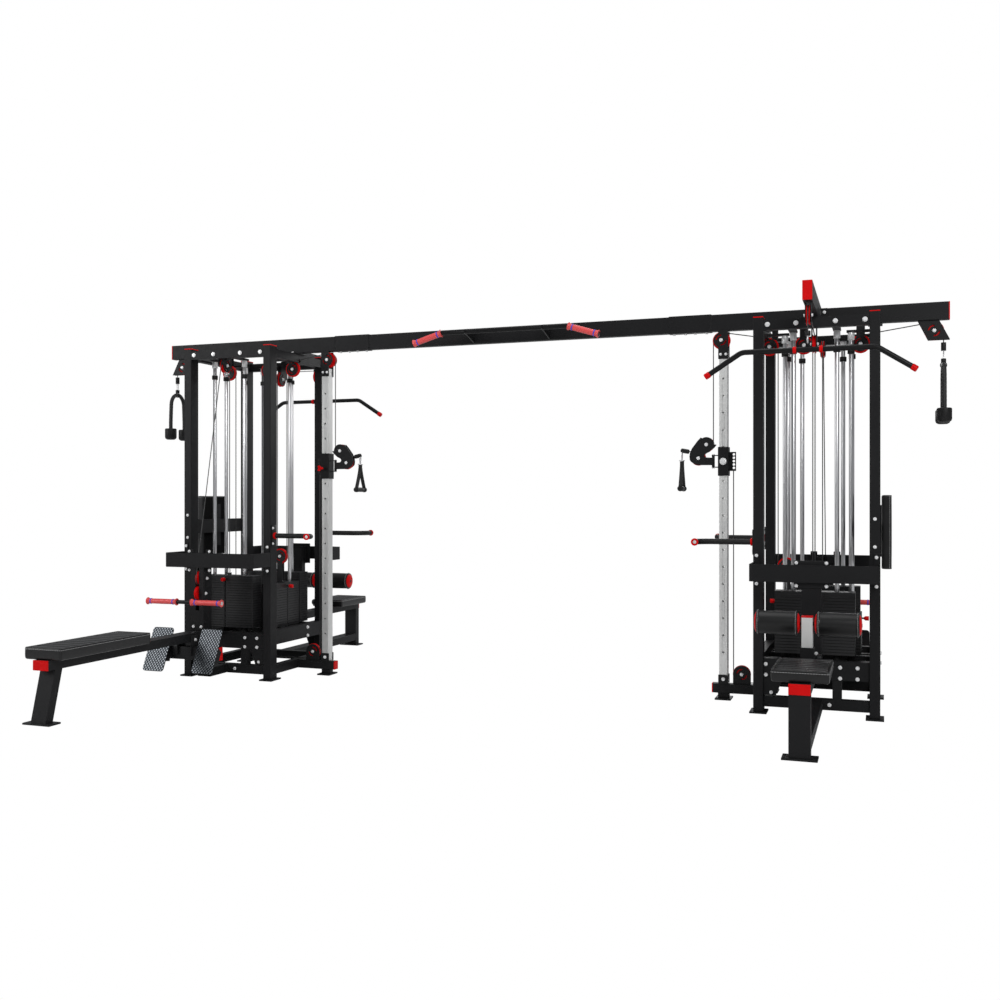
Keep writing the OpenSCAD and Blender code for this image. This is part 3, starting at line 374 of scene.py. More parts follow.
def run_of(p):
    """The distance along a line at each of its points."""
    return np.concatenate([[0], np.cumsum(np.linalg.norm(np.diff(p, axis=0), axis=1))])


def resample(pts, step):
    """The same line with points about a step apart."""
    p = np.array(pts, float)
    run = run_of(p)
    t = np.linspace(0, run[-1], max(2, int(run[-1] / step) + 1))
    return np.stack([np.interp(t, run, p[:, k]) for k in range(3)], 1)


def oval(at, u, v, n=41):
    """A closed line of n points about `at`; u and v are its half axes."""
    at, u, v = (np.array(q, float) for q in (at, u, v))
    return [tuple(at + u * math.sin(w) + v * math.cos(w)) for w in np.linspace(0, 2 * math.pi, n)]


def ring_at(at, r, side, up, n):
    """n corners round a point, from side towards up."""
    turn = [2 * math.pi * k / n for k in range(n)]
    return [at + r * (side * math.cos(t) + up * math.sin(t)) for t in turn]


def round_rect(x0, x1, y0, y1, r, n=6):
    """The outline of a rectangle with round corners."""
    pts = []
    corners = ((x1 - r, y1 - r), (x0 + r, y1 - r), (x0 + r, y0 + r), (x1 - r, y0 + r))
    for quarter, (cx, cy) in enumerate(corners):
        turn = [math.radians(90 * quarter + 90 * i / n) for i in range(n + 1)]
        pts += [(cx + r * math.cos(q), cy + r * math.sin(q)) for q in turn]
    return pts


def skin(rings, n, cap=True, closed=False):
    """Faces of a tube: quads between rings of n corners, and its two flat ends."""
    f = [(i * n + k, i * n + (k + 1) % n, (i + 1) % rings * n + (k + 1) % n, (i + 1) % rings * n + k)
         for i in range(rings if closed else rings - 1) for k in range(n)]
    if cap:
        f += [tuple(range(n - 1, -1, -1)), tuple((rings - 1) * n + k for k in range(n))]
    return f


def mend(me, dist):
    """Joins doubled corners and turns every face outwards."""
    bm = bmesh.new()
    bm.from_mesh(me)
    bmesh.ops.remove_doubles(bm, verts=bm.verts, dist=dist)
    bmesh.ops.recalc_face_normals(bm, faces=bm.faces)
    bm.to_mesh(me)
    bm.free()


def piece(name, verts, faces, mats, body, index=None):
    """A mesh object that rides on a body; index gives each face's place in mats."""
    me = bpy.data.meshes.new(name)
    me.from_pydata([tuple(map(float, v)) for v in verts], [], [list(f) for f in faces])
    mend(me, DOUBLES)
    for key in mats:
        me.materials.append(M[key])
    if index is not None and len(index) == len(me.polygons):
        me.polygons.foreach_set("material_index", np.array(index, np.int32))
    me.polygons.foreach_set("use_smooth", [True] * len(me.polygons))
    ob = bpy.data.objects.new(name, me)
    scene.collection.objects.link(ob)
    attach(ob, body)
    return ob


def edges_sharp(ob, degrees):
    """Smooth shading with the corners kept crisp."""
    bm = bmesh.new()
    bm.from_mesh(ob.data)
    for e in bm.edges:
        if len(e.link_faces) == 2 and e.calc_face_angle(0) > math.radians(degrees):
            e.smooth = False
    bm.to_mesh(ob.data)
    bm.free()


print("line and mesh helpers ready")

# %% [markdown]
# ## Loose parts joined in one mesh
# `turn` gives the finished shape half a turn about Z for tower a.

# %%
STRAP_SECTION = ((-1, -1), (-0.9, -1.1), (0.9, -1.1), (1, -1), (1, 1), (0.9, 1.1), (-0.9, 1.1), (-1, 1))


class Parts:
    """Loose closed shapes collected into one mesh, each with its own material."""

    def __init__(self):
        self.v, self.f, self.i, self.mats = [], [], [], []

    def put(self, verts, faces, mat):
        k = len(self.v)
        if mat not in self.mats:
            self.mats.append(mat)
        self.v += [tuple(v) for v in verts]
        self.f += [[k + j for j in f] for f in faces]
        self.i += [self.mats.index(mat)] * len(faces)
        return self

    def lathe(self, profile, mat, at=(0, 0, 0), axis="Z", n=48, closed=False):
        """profile is [(radius, height)]; the ends are capped unless closed makes it a ring."""
        a = np.arange(n) / n * 2 * math.pi
        v = np.array([(r * math.cos(t), r * math.sin(t), h) for r, h in profile for t in a])
        if axis == "X":
            v = v[:, [2, 0, 1]]
        elif axis == "Y":
            v = v[:, [1, 2, 0]]
        return self.put(v + np.array(at), skin(len(profile), n, not closed, closed), mat)

    def lathe_on(self, put, profile, mat, n=32):
        """A lathed profile set on a line by a map that along() gives."""
        one = Parts().lathe(profile, mat, n=n)
        return self.put([tuple(put(v)) for v in one.v], one.f, mat)

    def tube(self, pts, radius, mat, n=12, up=None, cap=True):
        """A swept tube; up steadies its section."""
        p = np.array(pts, float)
        d = tangents(p)
        side = np.array(up, float) if up is not None else np.cross(d[0], [0.3, 0.5, 0.81])
        v = []
        for i in range(len(p)):
            side = side - d[i] * side.dot(d[i])
            side /= np.linalg.norm(side)
            v += ring_at(p[i], radius, side, np.cross(d[i], side), n)
        return self.put(v, skin(len(p), n, cap), mat)

    def block(self, lo, hi, mat, r=0.0, seg=2):
        """A box with rounded edges."""
        bm = bmesh.new()
        bmesh.ops.create_cube(bm, size=1)
        for v in bm.verts:
            v.co = Vector([lo[i] + (v.co[i] + 0.5) * (hi[i] - lo[i]) for i in range(3)])
        if r > 0:
            bmesh.ops.bevel(bm, geom=list(bm.edges), offset=r, segments=seg, affect="EDGES", profile=0.5)
        bm.verts.index_update()
        v = [tuple(x.co) for x in bm.verts]
        f = [[x.index for x in g.verts] for g in bm.faces]
        bm.free()
        return self.put(v, f, mat)

    def prism(self, outline, depth, mat, frame):
        """A plate: a flat outline given depth; frame lifts (u, v, w) to a point."""
        v = [frame(p[0], p[1], w) for w in (0.0, depth) for p in outline]
        return self.put(v, skin(2, len(outline)), mat)

    def ribbon(self, pts, wide, thick, across, mat):
        """A flat strap along pts; across is the direction of its width."""
        p = np.array(pts, float)
        d = tangents(p)
        across = np.array(across, float)
        v = []
        for i in range(len(p)):
            up = np.cross(d[i], across)
            up /= np.linalg.norm(up)
            v += [p[i] + across * a * wide / 2 + up * b * thick / 2 for a, b in STRAP_SECTION]
        return self.put(v, skin(len(p), len(STRAP_SECTION)), mat)

    def turn(self, s):
        """Half a turn about Z for tower a."""
        if s < 0:
            self.v = [(-x, -y, z) for x, y, z in self.v]
        return self

    def make(self, name, body, slot, sharp=35):
        """The finished object; sharp is the angle of a crisp corner, or 0 for none."""
        ob = piece(name, self.v, self.f, self.mats, body, self.i)
        if sharp:
            edges_sharp(ob, sharp)
        return ob


print("parts ready")

# %% [markdown]
# ## Carried-over nodes
# A CAD node keeps its mesh: it gets materials face by face and rounded edges by modifiers.

# %%
BEVEL_ANGLE = 32  # degrees; sharper edges are rounded
WELD = 0.00002


def dress(node, mats, width, seg=2, rule=None):
    """Gives a CAD node its materials and rounded edges. rule maps the centres of its faces to
    places in mats; width is the bevel's."""
    ob = nodes[node]
    me = ob.data
    me.materials.clear()
    for key in mats:
        me.materials.append(M[key])
    n = len(me.polygons)
    idx = np.zeros(n, np.int32)
    if rule is not None:
        c = np.zeros(n * 3)
        me.polygons.foreach_get("center", c)
        idx[:] = rule(c.reshape(-1, 3))
    me.polygons.foreach_set("material_index", idx)
    ob.modifiers.new("weld", "WELD").merge_threshold = WELD
    b = ob.modifiers.new("bevel", "BEVEL")
    b.width, b.segments, b.limit_method = width, seg, "ANGLE"
    b.angle_limit = math.radians(BEVEL_ANGLE)


print("node helpers ready")

# %% [markdown]
# ## Sizes shared with the CAD source
# The same named values as the source, in metres, per tower where the two differ. A pulley is
# the place of its axle: (across, height). R, R_ARM and R_ROW are the radii that cables run on.

# %%
LAT = {"a": 1.900, "b": 1.911}  # the stations' middle planes in X
ROW = {"a": 2.007, "b": 1.930}
SEAT = {"a": 1.919, "b": 1.911}
R, R_ARM, R_ROW = 0.050, 0.0415, 0.045
INNER, OUTER, WIDE_Y = 1.7355, 2.105, 0.225  # centres of the stacks: X, X and Y
C1, I1, T2, B1, C2 = (1.3505, 2.185), (1.6355, 2.133), (1.8355, 2.133), (1.8355, 0.155), (1.472, 0.155)
O1, O2 = (2.155, 2.126), (2.554, 2.182)
L1, L2 = (0.275, 2.100), (0.817, 2.176)
R1, R2, R3 = (0.275, 2.140), (0.563, 0.691), (0.576, 0.592)
ARM_Z, HEAD_Z = 1.5105, 0.815  # swivel arm, and the pulley on the cable head
U1, U2 = (1.259, ARM_Z + R_ARM), (1.210, ARM_Z - R_ARM)
ROPE_X = O2[0] + R
PRESS_TOP, WIDE_TOP = 0.636, 0.780  # where the cables leave the lifting heads
print("cable pulleys of a tower", len((C1, I1, T2, B1, C2, O1, O2, L1, L2, R1, R2, R3, U1, U2)))

# %% [markdown]
# ## Ropes
# Each pull-down rope hangs in the lower link: two falls of one rope, about 0.29 m each,
# with a moulded end. They are made as three twisted strands.

# %%
ROPE_R, STRANDS, LAY = 0.0134, 3, 0.05  # radius, strands, and one turn of a strand
EYE_TOP, EYE_HALF, EYE_DROP = 1.983, 0.074, 0.080
FALL = [(0.077, 1.850), (0.0796, 1.790), (0.080, 1.760), (0.080, 1.732)]


def rope_fall(s, side, n=24):
    """The line of one fall: a quarter of an oval at the eye, then nearly straight down."""
    turn = [math.pi / 2 * i / n for i in range(n + 1)]
    q = [(EYE_HALF * math.sin(w), EYE_TOP - EYE_DROP * (1 - math.cos(w))) for w in turn]
    return [(s * ROPE_X, s * side * y, z) for y, z in q + FALL]


def twisted(pts, n=20):
    """A tube whose section is lobed and turns along the line, like laid rope."""
    p = np.array(pts, float)
    d, run = tangents(p), run_of(p)
    side = np.array([1.0, 0, 0])
    v = []
    for i in range(len(p)):
        w = np.cross(d[i], side)
        for k in range(n):
            t = 2 * math.pi * k / n
            lobe = abs(math.cos(STRANDS / 2 * t + run[i] / LAY * math.pi * 2))
            v.append(p[i] + ROPE_R * (0.965 + 0.035 * lobe) * (side * math.cos(t) + w * math.sin(t)))
    return Parts().put(v, skin(len(p), n), "rope_yarn")


for k, s in TOWERS:
    made = []
    for side in (-1, 1):
        line = rope_fall(s, side)
        ob = twisted(resample(line, 0.003)).make(
            f"rope_fall_{k}_{'l' if side < 0 else 'r'}", f"pull_rope_{k}", "rope_black", sharp=0)
        length = float(run_of(np.array(line))[-1])
        tuple(line[0])
        [tuple(q) for q in line]
        made.append(ob)
    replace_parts(made[0], f"rope_{k}")
    print("rope fall", k, round(length, 3))

# %% [markdown]
# ## Cables
# The same route solver as the CAD source: a route is a list of pulleys with a signed radius.
# Each straight run between a fixed pulley and a moving piece is a mesh of its own, held by no
# body; arcs stay on their pulley's body.

# %%
CABLE_R = 0.003
ARC_STEP = math.radians(6)
RUN_STEP, RUN_CUTS = 0.03, 24  # longest piece of a straight run, and least count
TURN = 2 * math.pi


def heading(p, q):
    """The way in which the cable runs from pulley p to pulley q."""
    dx, dz = q[0] - p[0], q[1] - p[1]
    return math.atan2(dz, dx) - math.asin((q[2] - p[2]) / math.hypot(dx, dz))


def touch(p, h):
    """Where a cable with heading h touches pulley p."""
    return (p[0] + p[2] * math.sin(h), p[1] - p[2] * math.cos(h))


def arc(p, h0, h1):
    k = 1 if p[2] > 0 else -1
    a = ((h1 - h0) * k) % TURN
    if a > TURN - 1e-6:
        a = 0
    n = max(1, int(a / ARC_STEP))
    return [touch(p, h0 + k * a * i / n) for i in range(n + 1)]


def runs(route):
    """Arcs and straight runs in order, as lists of points in the plane."""
    h = [heading(a, b) for a, b in zip(route, route[1:])]
    got = []
    for i in range(len(route) - 1):
        got.append(("line", [touch(route[i], h[i]), touch(route[i + 1], h[i])]))
        if i + 1 < len(route) - 1:
            got.append(("arc", arc(route[i + 1], h[i], h[i + 1])))
    return got


def cable(name, route, plane, holders, node=None):
    """holders names the body of each route point; plane lifts a 2-D point to the frame."""
    made, parts, chain = [], Parts(), []
    for i, (kind, pts) in enumerate(runs(route)):
        straight = kind == "line"
        ends = holders[i // 2:i // 2 + 2] if straight else [holders[i // 2 + 1]] * 2
        p3 = [plane(q) for q in pts]
        if ends[0] == ends[1] == "frame":  # what stays on the frame is one mesh
            joined = chain and np.linalg.norm(np.subtract(chain[-1][-1], p3[0])) < 1e-6
            chain[-1:] = [chain[-1] + p3[1:]] if joined else chain[-1:] + [p3]
            continue
        span = float(np.linalg.norm(np.subtract(p3[0], p3[-1])))
        line = resample(p3, min(RUN_STEP, span / RUN_CUTS)) if straight else p3
        ob = Parts().tube(line, CABLE_R, "cable").make(f"{name}_{i:02d}", ends[0], "cable", 0)
        if straight:
            ob.parent = None
            ob.matrix_world = Matrix.Identity(4)
            if "frame" in ends:  # the trolley carries the arm along the column
                ends = [e.replace("swivel_arm", "trolley") for e in ends]
            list(ends)
            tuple(p3[0])
            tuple(p3[-1])
            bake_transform(ob)
        made.append(ob)
    for p3 in chain:
        parts.tube(p3, CABLE_R, "cable")
    if parts.v:
        made.append(parts.make(f"{name}_fixed", "frame", "cable", 0))
    if node:
        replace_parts(made[-1], node)


print("route solver ready")

# %% [markdown]
# A route point is (across, height, signed radius); the list after the plane names what each
# point belongs to. The column's cable doubles back over the pulley on its head.

# %%
for k, s in TOWERS:
    def xz(q, s=s):
        return (s * q[0], 0.0, q[1])

    def yz(at, s=s):
        return lambda q: (s * at, s * q[0], q[1])

    routes = {
        "column": ([(1.146, ARM_Z, 0), (*U1, R_ARM), (*C1, -R), (*I1, -R), (INNER, HEAD_Z, R),
                    (*T2, -R), (*B1, -R), (*C2, -R), (C2[0] - R, 1.389, 0)], xz,
                   ["stirrup_handle", "swivel_arm", "frame", "frame", "cable_head",
                    "frame", "frame", "frame", "trolley"]),
        "press": ([(OUTER, PRESS_TOP, 0), (*O1, -R), (*O2, -R), (ROPE_X, 2.112, 0)], xz,
                  ["press_head", "frame", "frame", "pull_rope"]),
        "lat": ([(-L1[0] + R, WIDE_TOP, 0), (-L1[0], L1[1], R), (-L2[0], L2[1], R),
                 (-L2[0] - R, 2.084, 0)], yz(LAT[k]),
                ["lat_head", "frame", "frame", "lat_bar"]),
        "row": ([(R1[0] - R, WIDE_TOP, 0), (*R1, -R), (*R2, -R), (*R3, R_ROW),
                 (0.677, R3[1] - R_ROW, 0)], yz(ROW[k]),
                ["row_head", "frame", "frame", "frame", "row_bar"])}
    for kind, (route, plane, bodies) in routes.items():
        cable(f"{kind}_cable_{k}", route, plane, [b if b == "frame" else f"{b}_{k}" for b in bodies],
              f"{kind}_cables" if k == "a" else None)
print("cables of both towers")

# %% [markdown]
# ## Floor
# The camera sees the floor as paper white; for all other rays it is pale and dull, so it bounces
# soft light onto the pieces from below.

# %%
FLOOR = 30  # half width
floor_mesh = bpy.data.meshes.new("floor")
floor_mesh.from_pydata([(-FLOOR, -FLOOR, 0), (FLOOR, -FLOOR, 0), (FLOOR, FLOOR, 0), (-FLOOR, FLOOR, 0)],
                       [], [(0, 1, 2, 3)])
floor = bpy.data.objects.new("floor", floor_mesh)
scene.collection.objects.link(floor)
paper = bpy.data.materials.new("floor")
paper.use_nodes = True
two_looks(paper.node_tree, "ShaderNodeOutputMaterial",
          ("ShaderNodeBsdfDiffuse", {"Color": (0.8, 0.8, 0.8, 1)}),
          ("ShaderNodeEmission", {"Color": WHITE, "Strength": 1.0}))
floor_mesh.materials.append(paper)
print("floor half width", FLOOR)

# %% [markdown]
# ## Materials of the carried-over frame
# Each CAD node gets its finish, and its edges are rounded by a modifier. Nodes with more than
# one colour are painted face by face from distance rules, with the sizes of tower b.

# %%
TUBE_EDGE, FINE_EDGE, PLATE_EDGE = 0.003, 0.0012, 0.0030
AXLE_R, AXLE_FROM = 0.0125, 0.0091  # a pulley's bolt, and where it leaves the pulley
KNOB_Z, KNOB_HALF, KNOB_FROM = 0.402, 0.0195, 0.036
ROLLER_Y, ROLLER_Z, POST_HALF = 0.897, 0.577, 0.02


def off_axis(c, at, axis):
    """Distance of face centres from a line through a point, along an axis."""
    keep = [i for i in range(3) if i != "XYZ".index(axis)]
    return np.hypot(*(c[:, i] - at[i] for i in keep))


def knob_rule(c):
    """1 on the clamp knobs beside the roller posts."""
    beside = np.minimum(*(np.abs(np.abs(c[:, 0]) - SEAT[k]) for k, _ in TOWERS))
    level = np.abs(c[:, 2] - KNOB_Z) < KNOB_HALF
    return level & (np.abs(np.abs(c[:, 1]) - ROLLER_Y) < POST_HALF) & (beside > KNOB_FROM)


def idler_rule(c):
    """0 red pulley, 1 bright axle bolt."""
    kind = np.zeros(len(c), int)
    for k, s in TOWERS:
        for p in (I1, T2, B1, C2, O1, O2, C1):
            kind[(off_axis(c, (s * p[0], 0, p[1]), "Y") < AXLE_R) & (np.abs(c[:, 1]) > AXLE_FROM)] = 1
        for x, side, p in ((LAT[k], -1, L1), (LAT[k], -1, L2),
                           (ROW[k], 1, R1), (ROW[k], 1, R2), (ROW[k], 1, R3)):
            at = (s * x, s * side * p[0], p[1])
            kind[(off_axis(c, at, "X") < AXLE_R) & (np.abs(c[:, 0] - at[0]) > AXLE_FROM)] = 1
    return kind


for name in ("main_beam", "lat_arms", "uprights", "top_rails", "base_rails", "station_struts",
             "stack_guards", "station_columns"):
    dress(name, ["coat"], TUBE_EDGE, 3)
for name, key in (("floor_feet", "coat_plate"), ("pulley_brackets", "coat_plate"), ("end_caps", "red"),
                  ("pulley_columns", "silver"), ("rod_collars", "zinc"), ("guide_rods", "chrome"),
                  ("rubber_stops", "rubber"), ("frame_bolts", "zinc"), ("weight_plates", "plates"),
                  ("chin_bar", "bar_coat")):
    dress(name, [key], PLATE_EDGE if name == "weight_plates" else FINE_EDGE)
dress("seat_frames", ["coat", "black"], TUBE_EDGE, 3, knob_rule)
dress("idler_pulleys", ["red", "zinc"], 0.0008, rule=idler_rule)
print("painted nodes of the frame", sum(1 for n in nodes.values() if n.data.materials))

# %% [markdown]
# ## Materials of the moving pieces
# The lifting heads, trolleys, arms, pins, links and posts of each tower. The rules work in
# tower b's coordinates, so tower a's face centres are turned first.

# %%
HEADS = {  # centre of the head in plan, the way its pin points, and where the red knob begins
    "cable_head": (lambda k: (INNER, 0), (-1, 0), 0.0675),
    "press_head": (lambda k: (OUTER, 0), (1, 0), 0.0675),
    "lat_head": (lambda k: (LAT[k], -WIDE_Y), (0, -1), 0.0615),
    "row_head": (lambda k: (ROW[k], WIDE_Y), (0, 1), 0.0615)}
STEM_R, PIN_FROM = 0.0135, 0.0555
FORK_FROM, WHEEL_FROM = 0.6395, 0.66  # heights on the cable head: its fork and pulley
HINGE_X, HINGE_R = 1.300, 0.0085
HINGE_LOW, HINGE_TOP = 1.4100, 1.4880


def head_rule(name, k, s):
    """0 plate, 1 red pin knob or pulley, 2 steel."""
    centre, way, reach = HEADS[name]

    def rule(c):
        kind = np.zeros(len(c), int)
        p = c * [s, s, 1] - [*centre(k), 0]
        out_by = p[:, 0] * way[0] + p[:, 1] * way[1]
        r = np.hypot(p[:, 0], p[:, 1])
        kind[r < STEM_R] = 2
        kind[(out_by > PIN_FROM) & (r > 0.03)] = 2
        kind[out_by > reach] = 1
        if name == "cable_head":
            up = p[:, 2] > FORK_FROM
            kind[up] = 0
            kind[up & (np.abs(p[:, 1]) < 0.0095) & (p[:, 2] > WHEEL_FROM)] = 1
            bolt = np.hypot(p[:, 0], p[:, 2] - HEAD_Z) < 0.012
            kind[up & (np.abs(p[:, 1]) > 0.0151) & bolt] = 2
        return kind

    return rule


def arm_rule(c, s):
    """0 coat, 1 red pulley, 2 bright bolts and hinge pin."""
    p = c * [s, s, 1]
    kind = np.zeros(len(c), int)
    for at in (U1, U2):
        r = off_axis(p, (at[0], 0, at[1]), "Y")
        kind[(r < 0.0455) & (np.abs(p[:, 1]) < 0.0096)] = 1
        kind[(r < 0.012) & (np.abs(p[:, 1]) > 0.0152)] = 2
    pin = off_axis(p, (HINGE_X, 0, 0), "Z") < HINGE_R
    kind[pin & ((p[:, 2] < HINGE_LOW) | (p[:, 2] > HINGE_TOP))] = 2
    return kind


def trolley_rule(c, s):
    """1 on the bushing that guides the pop pin."""
    round_it = off_axis(c * [s, s, 1], (1.364, 0, 1.447), "Y") < 0.023
    return (c[:, 1] * s < -0.037) & round_it


for k, s in TOWERS:
    for name in HEADS:
        dress(f"{name}_{k}", ["stack", "red", "zinc"], 0.001, rule=head_rule(name, k, s))
    for name, mats, rule, width, seg in (
            ("trolley", ["coat", "zinc"], lambda c: trolley_rule(c, s), 0.0015, 2),
            ("swivel_arm", ["coat_plate", "red", "zinc"], lambda c: arm_rule(c, s), 0.001, 2),
            ("pop_pin", ["zinc", "red"], lambda c: c[:, 1] * s > 0.0945, 0.002, 3),
            ("rope_link", ["boot", "chrome"], lambda c: (c[:, 2] > 2.0195) & (c[:, 2] < 2.0655), 0.002, 3),
            ("roller_post", ["silver", "red"], lambda c: c[:, 2] > 0.6095, 0.002, 2),
            ("column_top_pulley", ["red"], None, 0.0008, 2)):
        dress(f"{name}_{k}", mats, width, seg, rule)
print("painted nodes", sum(1 for n in nodes.values() if n.data.materials))

# %% [markdown]
# ## Stitches
# A thread whose thickness swells once for every stitch.

# %%
STITCH = 0.0125


def stitched(parts, pts, radii, up, n=6):
    """A thread whose thickness follows radii, so that it reads as stitches."""
    p = np.array(pts, float)
    d = tangents(p)
    up = np.array(up, float)
    v = []
    for i in range(len(p)):
        side = np.cross(d[i], up)
        side /= np.linalg.norm(side)
        v += ring_at(p[i], radii[i], side, np.cross(side, d[i]), n)
    return parts.put(v, skin(len(p), n, cap=False), "thread")


def swell(count, step, thick):
    """Thread radius at each of count points that stand a step apart."""
    gate = np.abs(np.sin(np.arange(count) * step / STITCH * math.pi))
    return thick * (0.3 + 0.9 * gate)


print("stitch length", STITCH)

# %% [markdown]
# ## Pads
# A pad is a closed form with rounded corners, a crowned top sewn into ribs, sides that bulge a
# little and tuck in under the base, and a corded seam round the top edge. Its board side has a
# dull backing cloth.

# %%
BORDER = 0.012  # rim beside the ribs
CORNER, EDGE, CROWN = 0.0095, 0.0045, 0.002  # corner in plan, rounding of the rim, rise of the top
BULGE, TUCK = 0.0008, 0.0015
RIB_CUTS = (0, 0.02, 0.06, 0.13, 0.25, 0.4, 0.6, 0.75, 0.87, 0.94, 0.98)
VALLEY_CUTS = (-0.009, -0.006, -0.003, -0.0015, 0.0015, 0.003, 0.006, 0.009)
VALLEY_WIDE = 0.004
CORD_R, HEM_R, THREAD_R = 0.0019, 0.0014, 0.0013
HEM_DROP, HEM_STEP, THREAD_STEP = 0.0095, 0.0022, 0.0024
THREAD_PROUD = 0.0012  # how far a thread stands above its valley


def smooth_step(a, b, x):
    t = np.clip((x - a) / (b - a), 0, 1)
    return t * t * (3 - 2 * t)


def round_plan(x, y, a, b, r):
    """Turns the corners of a rectangle of half sides a, b into arcs of radius r."""
    dx, dy = np.abs(x) - (a - r), np.abs(y) - (b - r)
    both = (dx > 0) & (dy > 0)
    k = np.where(both, np.maximum(dx, dy) / np.maximum(np.hypot(dx, dy), 1e-9), 1)
    nx = np.where(both, (a - r) + dx * k, np.abs(x))
    ny = np.where(both, (b - r) + dy * k, np.abs(y))
    return np.sign(x) * nx, np.sign(y) * ny


def rim(w, h, z, step):
    """The closed line round a pad of half sides w, h at height z."""
    loop = [(x, y, z) for x, y in round_rect(-w, w, -h, h, CORNER)]
    return resample(loop + [loop[0]], step)


def soft_pad(name, a, b, t, lift, rolls, rib=0.009, split=False):
    """a, b, t are half sizes; lift maps (across, along, up) of the pad to the frame. The top
    has rolls ribs across it, or, where it is split, one valley along its middle."""
    pitch = (2 * b - 2 * BORDER) / rolls
    ys = [-b, -b + 0.002, -b + EDGE]
    ys += [-b + BORDER + pitch * (i + c) for i in range(rolls) for c in RIB_CUTS]
    ys = np.array(ys + [b - BORDER, b - EDGE, b - 0.002, b])
    xs = np.concatenate([[-a, -a + 0.002, -a + EDGE, -a + 0.010], np.linspace(-a + 0.014, a - 0.014, 25),
                         [a - 0.010, a - EDGE, a - 0.002, a]])
    if split:
        xs = np.sort(np.concatenate([xs, VALLEY_CUTS]))
    zs = np.linspace(-t, t, 15)

    def crowned(x, y):
        return CROWN * (1 - (x / a) ** 4) * (1 - (y / b) ** 4)

    def shape(x, y, z):
        top, bottom = z >= t - 1e-9, z <= -t + 1e-9
        cap = np.maximum(np.abs(z) - (t - EDGE), 0) / EDGE
        inset = EDGE * (1 - np.sqrt(np.clip(1 - cap ** 2, 0, 1)))
        flat = (np.abs(x) < a - 1e-9) & (np.abs(y) < b - 1e-9)
        inset = np.where(flat, EDGE, inset)
        px, py = x * (a - inset) / a, y * (b - inset) / b
        px, py = round_plan(px, py, a - inset, b - inset, CORNER)
        bulge = BULGE * (1 - (z / t) ** 2) - TUCK * smooth_step(0.5, 1, -z / t)
        bulge = np.where(bottom, -TUCK, np.where(~flat & ~top & ~bottom, bulge, 0))
        px, py = px * (1 + bulge / a), py * (1 + bulge / b)
        far = np.minimum(a - np.abs(x), b - np.abs(y))
        sewn = rib * smooth_step(0.008, 0.015, far)
        if split:
            sewn = sewn * np.exp(-(x / VALLEY_WIDE) ** 2)
        else:
            sewn = sewn * (1 - np.abs(np.sin(math.pi * (y + b - BORDER) / pitch)) ** 0.8)
        return px, py, z + np.where(top, crowned(x, y) - sewn, 0)

    full = np.full_like
    v, f = [], []
    for us, ws, place in (
            (xs, ys, lambda p, q: (p, q, full(p, t))), (xs, ys, lambda p, q: (p, q, full(p, -t))),
            (xs, zs, lambda p, q: (p, full(p, b), q)), (xs, zs, lambda p, q: (p, full(p, -b), q)),
            (ys, zs, lambda p, q: (full(p, a), p, q)), (ys, zs, lambda p, q: (full(p, -a), p, q))):
        g1, g2 = np.meshgrid(us, ws, indexing="ij")
        x, y, z = shape(*place(g1.ravel(), g2.ravel()))
        k, n = len(v), len(ws)
        v += list(zip(x, y, z))
        f += [(k + i * n + j, k + (i + 1) * n + j, k + (i + 1) * n + j + 1, k + i * n + j + 1)
              for i in range(len(us) - 1) for j in range(n - 1)]
    ob = piece(name, [lift(*p) for p in v], f, ["vinyl"], "frame")
    mend(ob.data, WELD)
    up = np.subtract(lift(0, 0, 1), lift(0, 0, 0))
    ob.data.materials.append(M["backing"])
    for face in ob.data.polygons:
        if face.normal.dot(Vector(-up)) > 0.95:
            face.material_index = 1

    # corded seam on the top edge, stitches just under it, and the thread of each valley
    seams = Parts()
    cord = rim(a - EDGE * 0.3, b - EDGE * 0.3, t - EDGE * 0.3, 0.008)
    seams.tube([lift(*p) for p in cord], CORD_R, "piping", 8, up=up, cap=False)
    hem = rim(a, b, t - HEM_DROP, HEM_STEP)
    stitched(seams, [lift(*p) for p in hem], swell(len(hem), HEM_STEP, HEM_R), up)
    deep = t - rib + THREAD_PROUD
    if split:
        valleys = [[(0, y * (b - 0.018) / b, deep) for y in np.arange(-b, b, THREAD_STEP)]]
    else:
        across = np.arange(-a + 0.017, a - 0.017, THREAD_STEP)
        valleys = [[(x, y, deep + crowned(x, y)) for x in across]
                   for y in (-b + BORDER + pitch * i for i in range(1, rolls))]
    for pts in valleys:
        stitched(seams, [lift(*p) for p in pts], swell(len(pts), THREAD_STEP, THREAD_R), up)
    seams.make(name + "_seams", "frame", "vinyl", 0)
    return ob


print("pad helpers ready")

# %% [markdown]
# The seat and the bench lie flat, with ribs across; the back pad stands on end, split down its
# middle.

# %%
FLAT_PADS = (  # name, half sizes, station, place along, height, ribs, depth of a valley
    ("seat", (0.1325, 0.2125, 0.0275), SEAT, -1.2175, 0.3840, 7, 0.013),
    ("bench", (0.1225, 0.3775, 0.0325), ROW, 1.6125, 0.3784, 11, 0.009))
BACK_PAD, BACK_X, BACK_Z, BACK_CUTS = (0.155, 0.210, 0.0268), 2.297, 1.030, 6

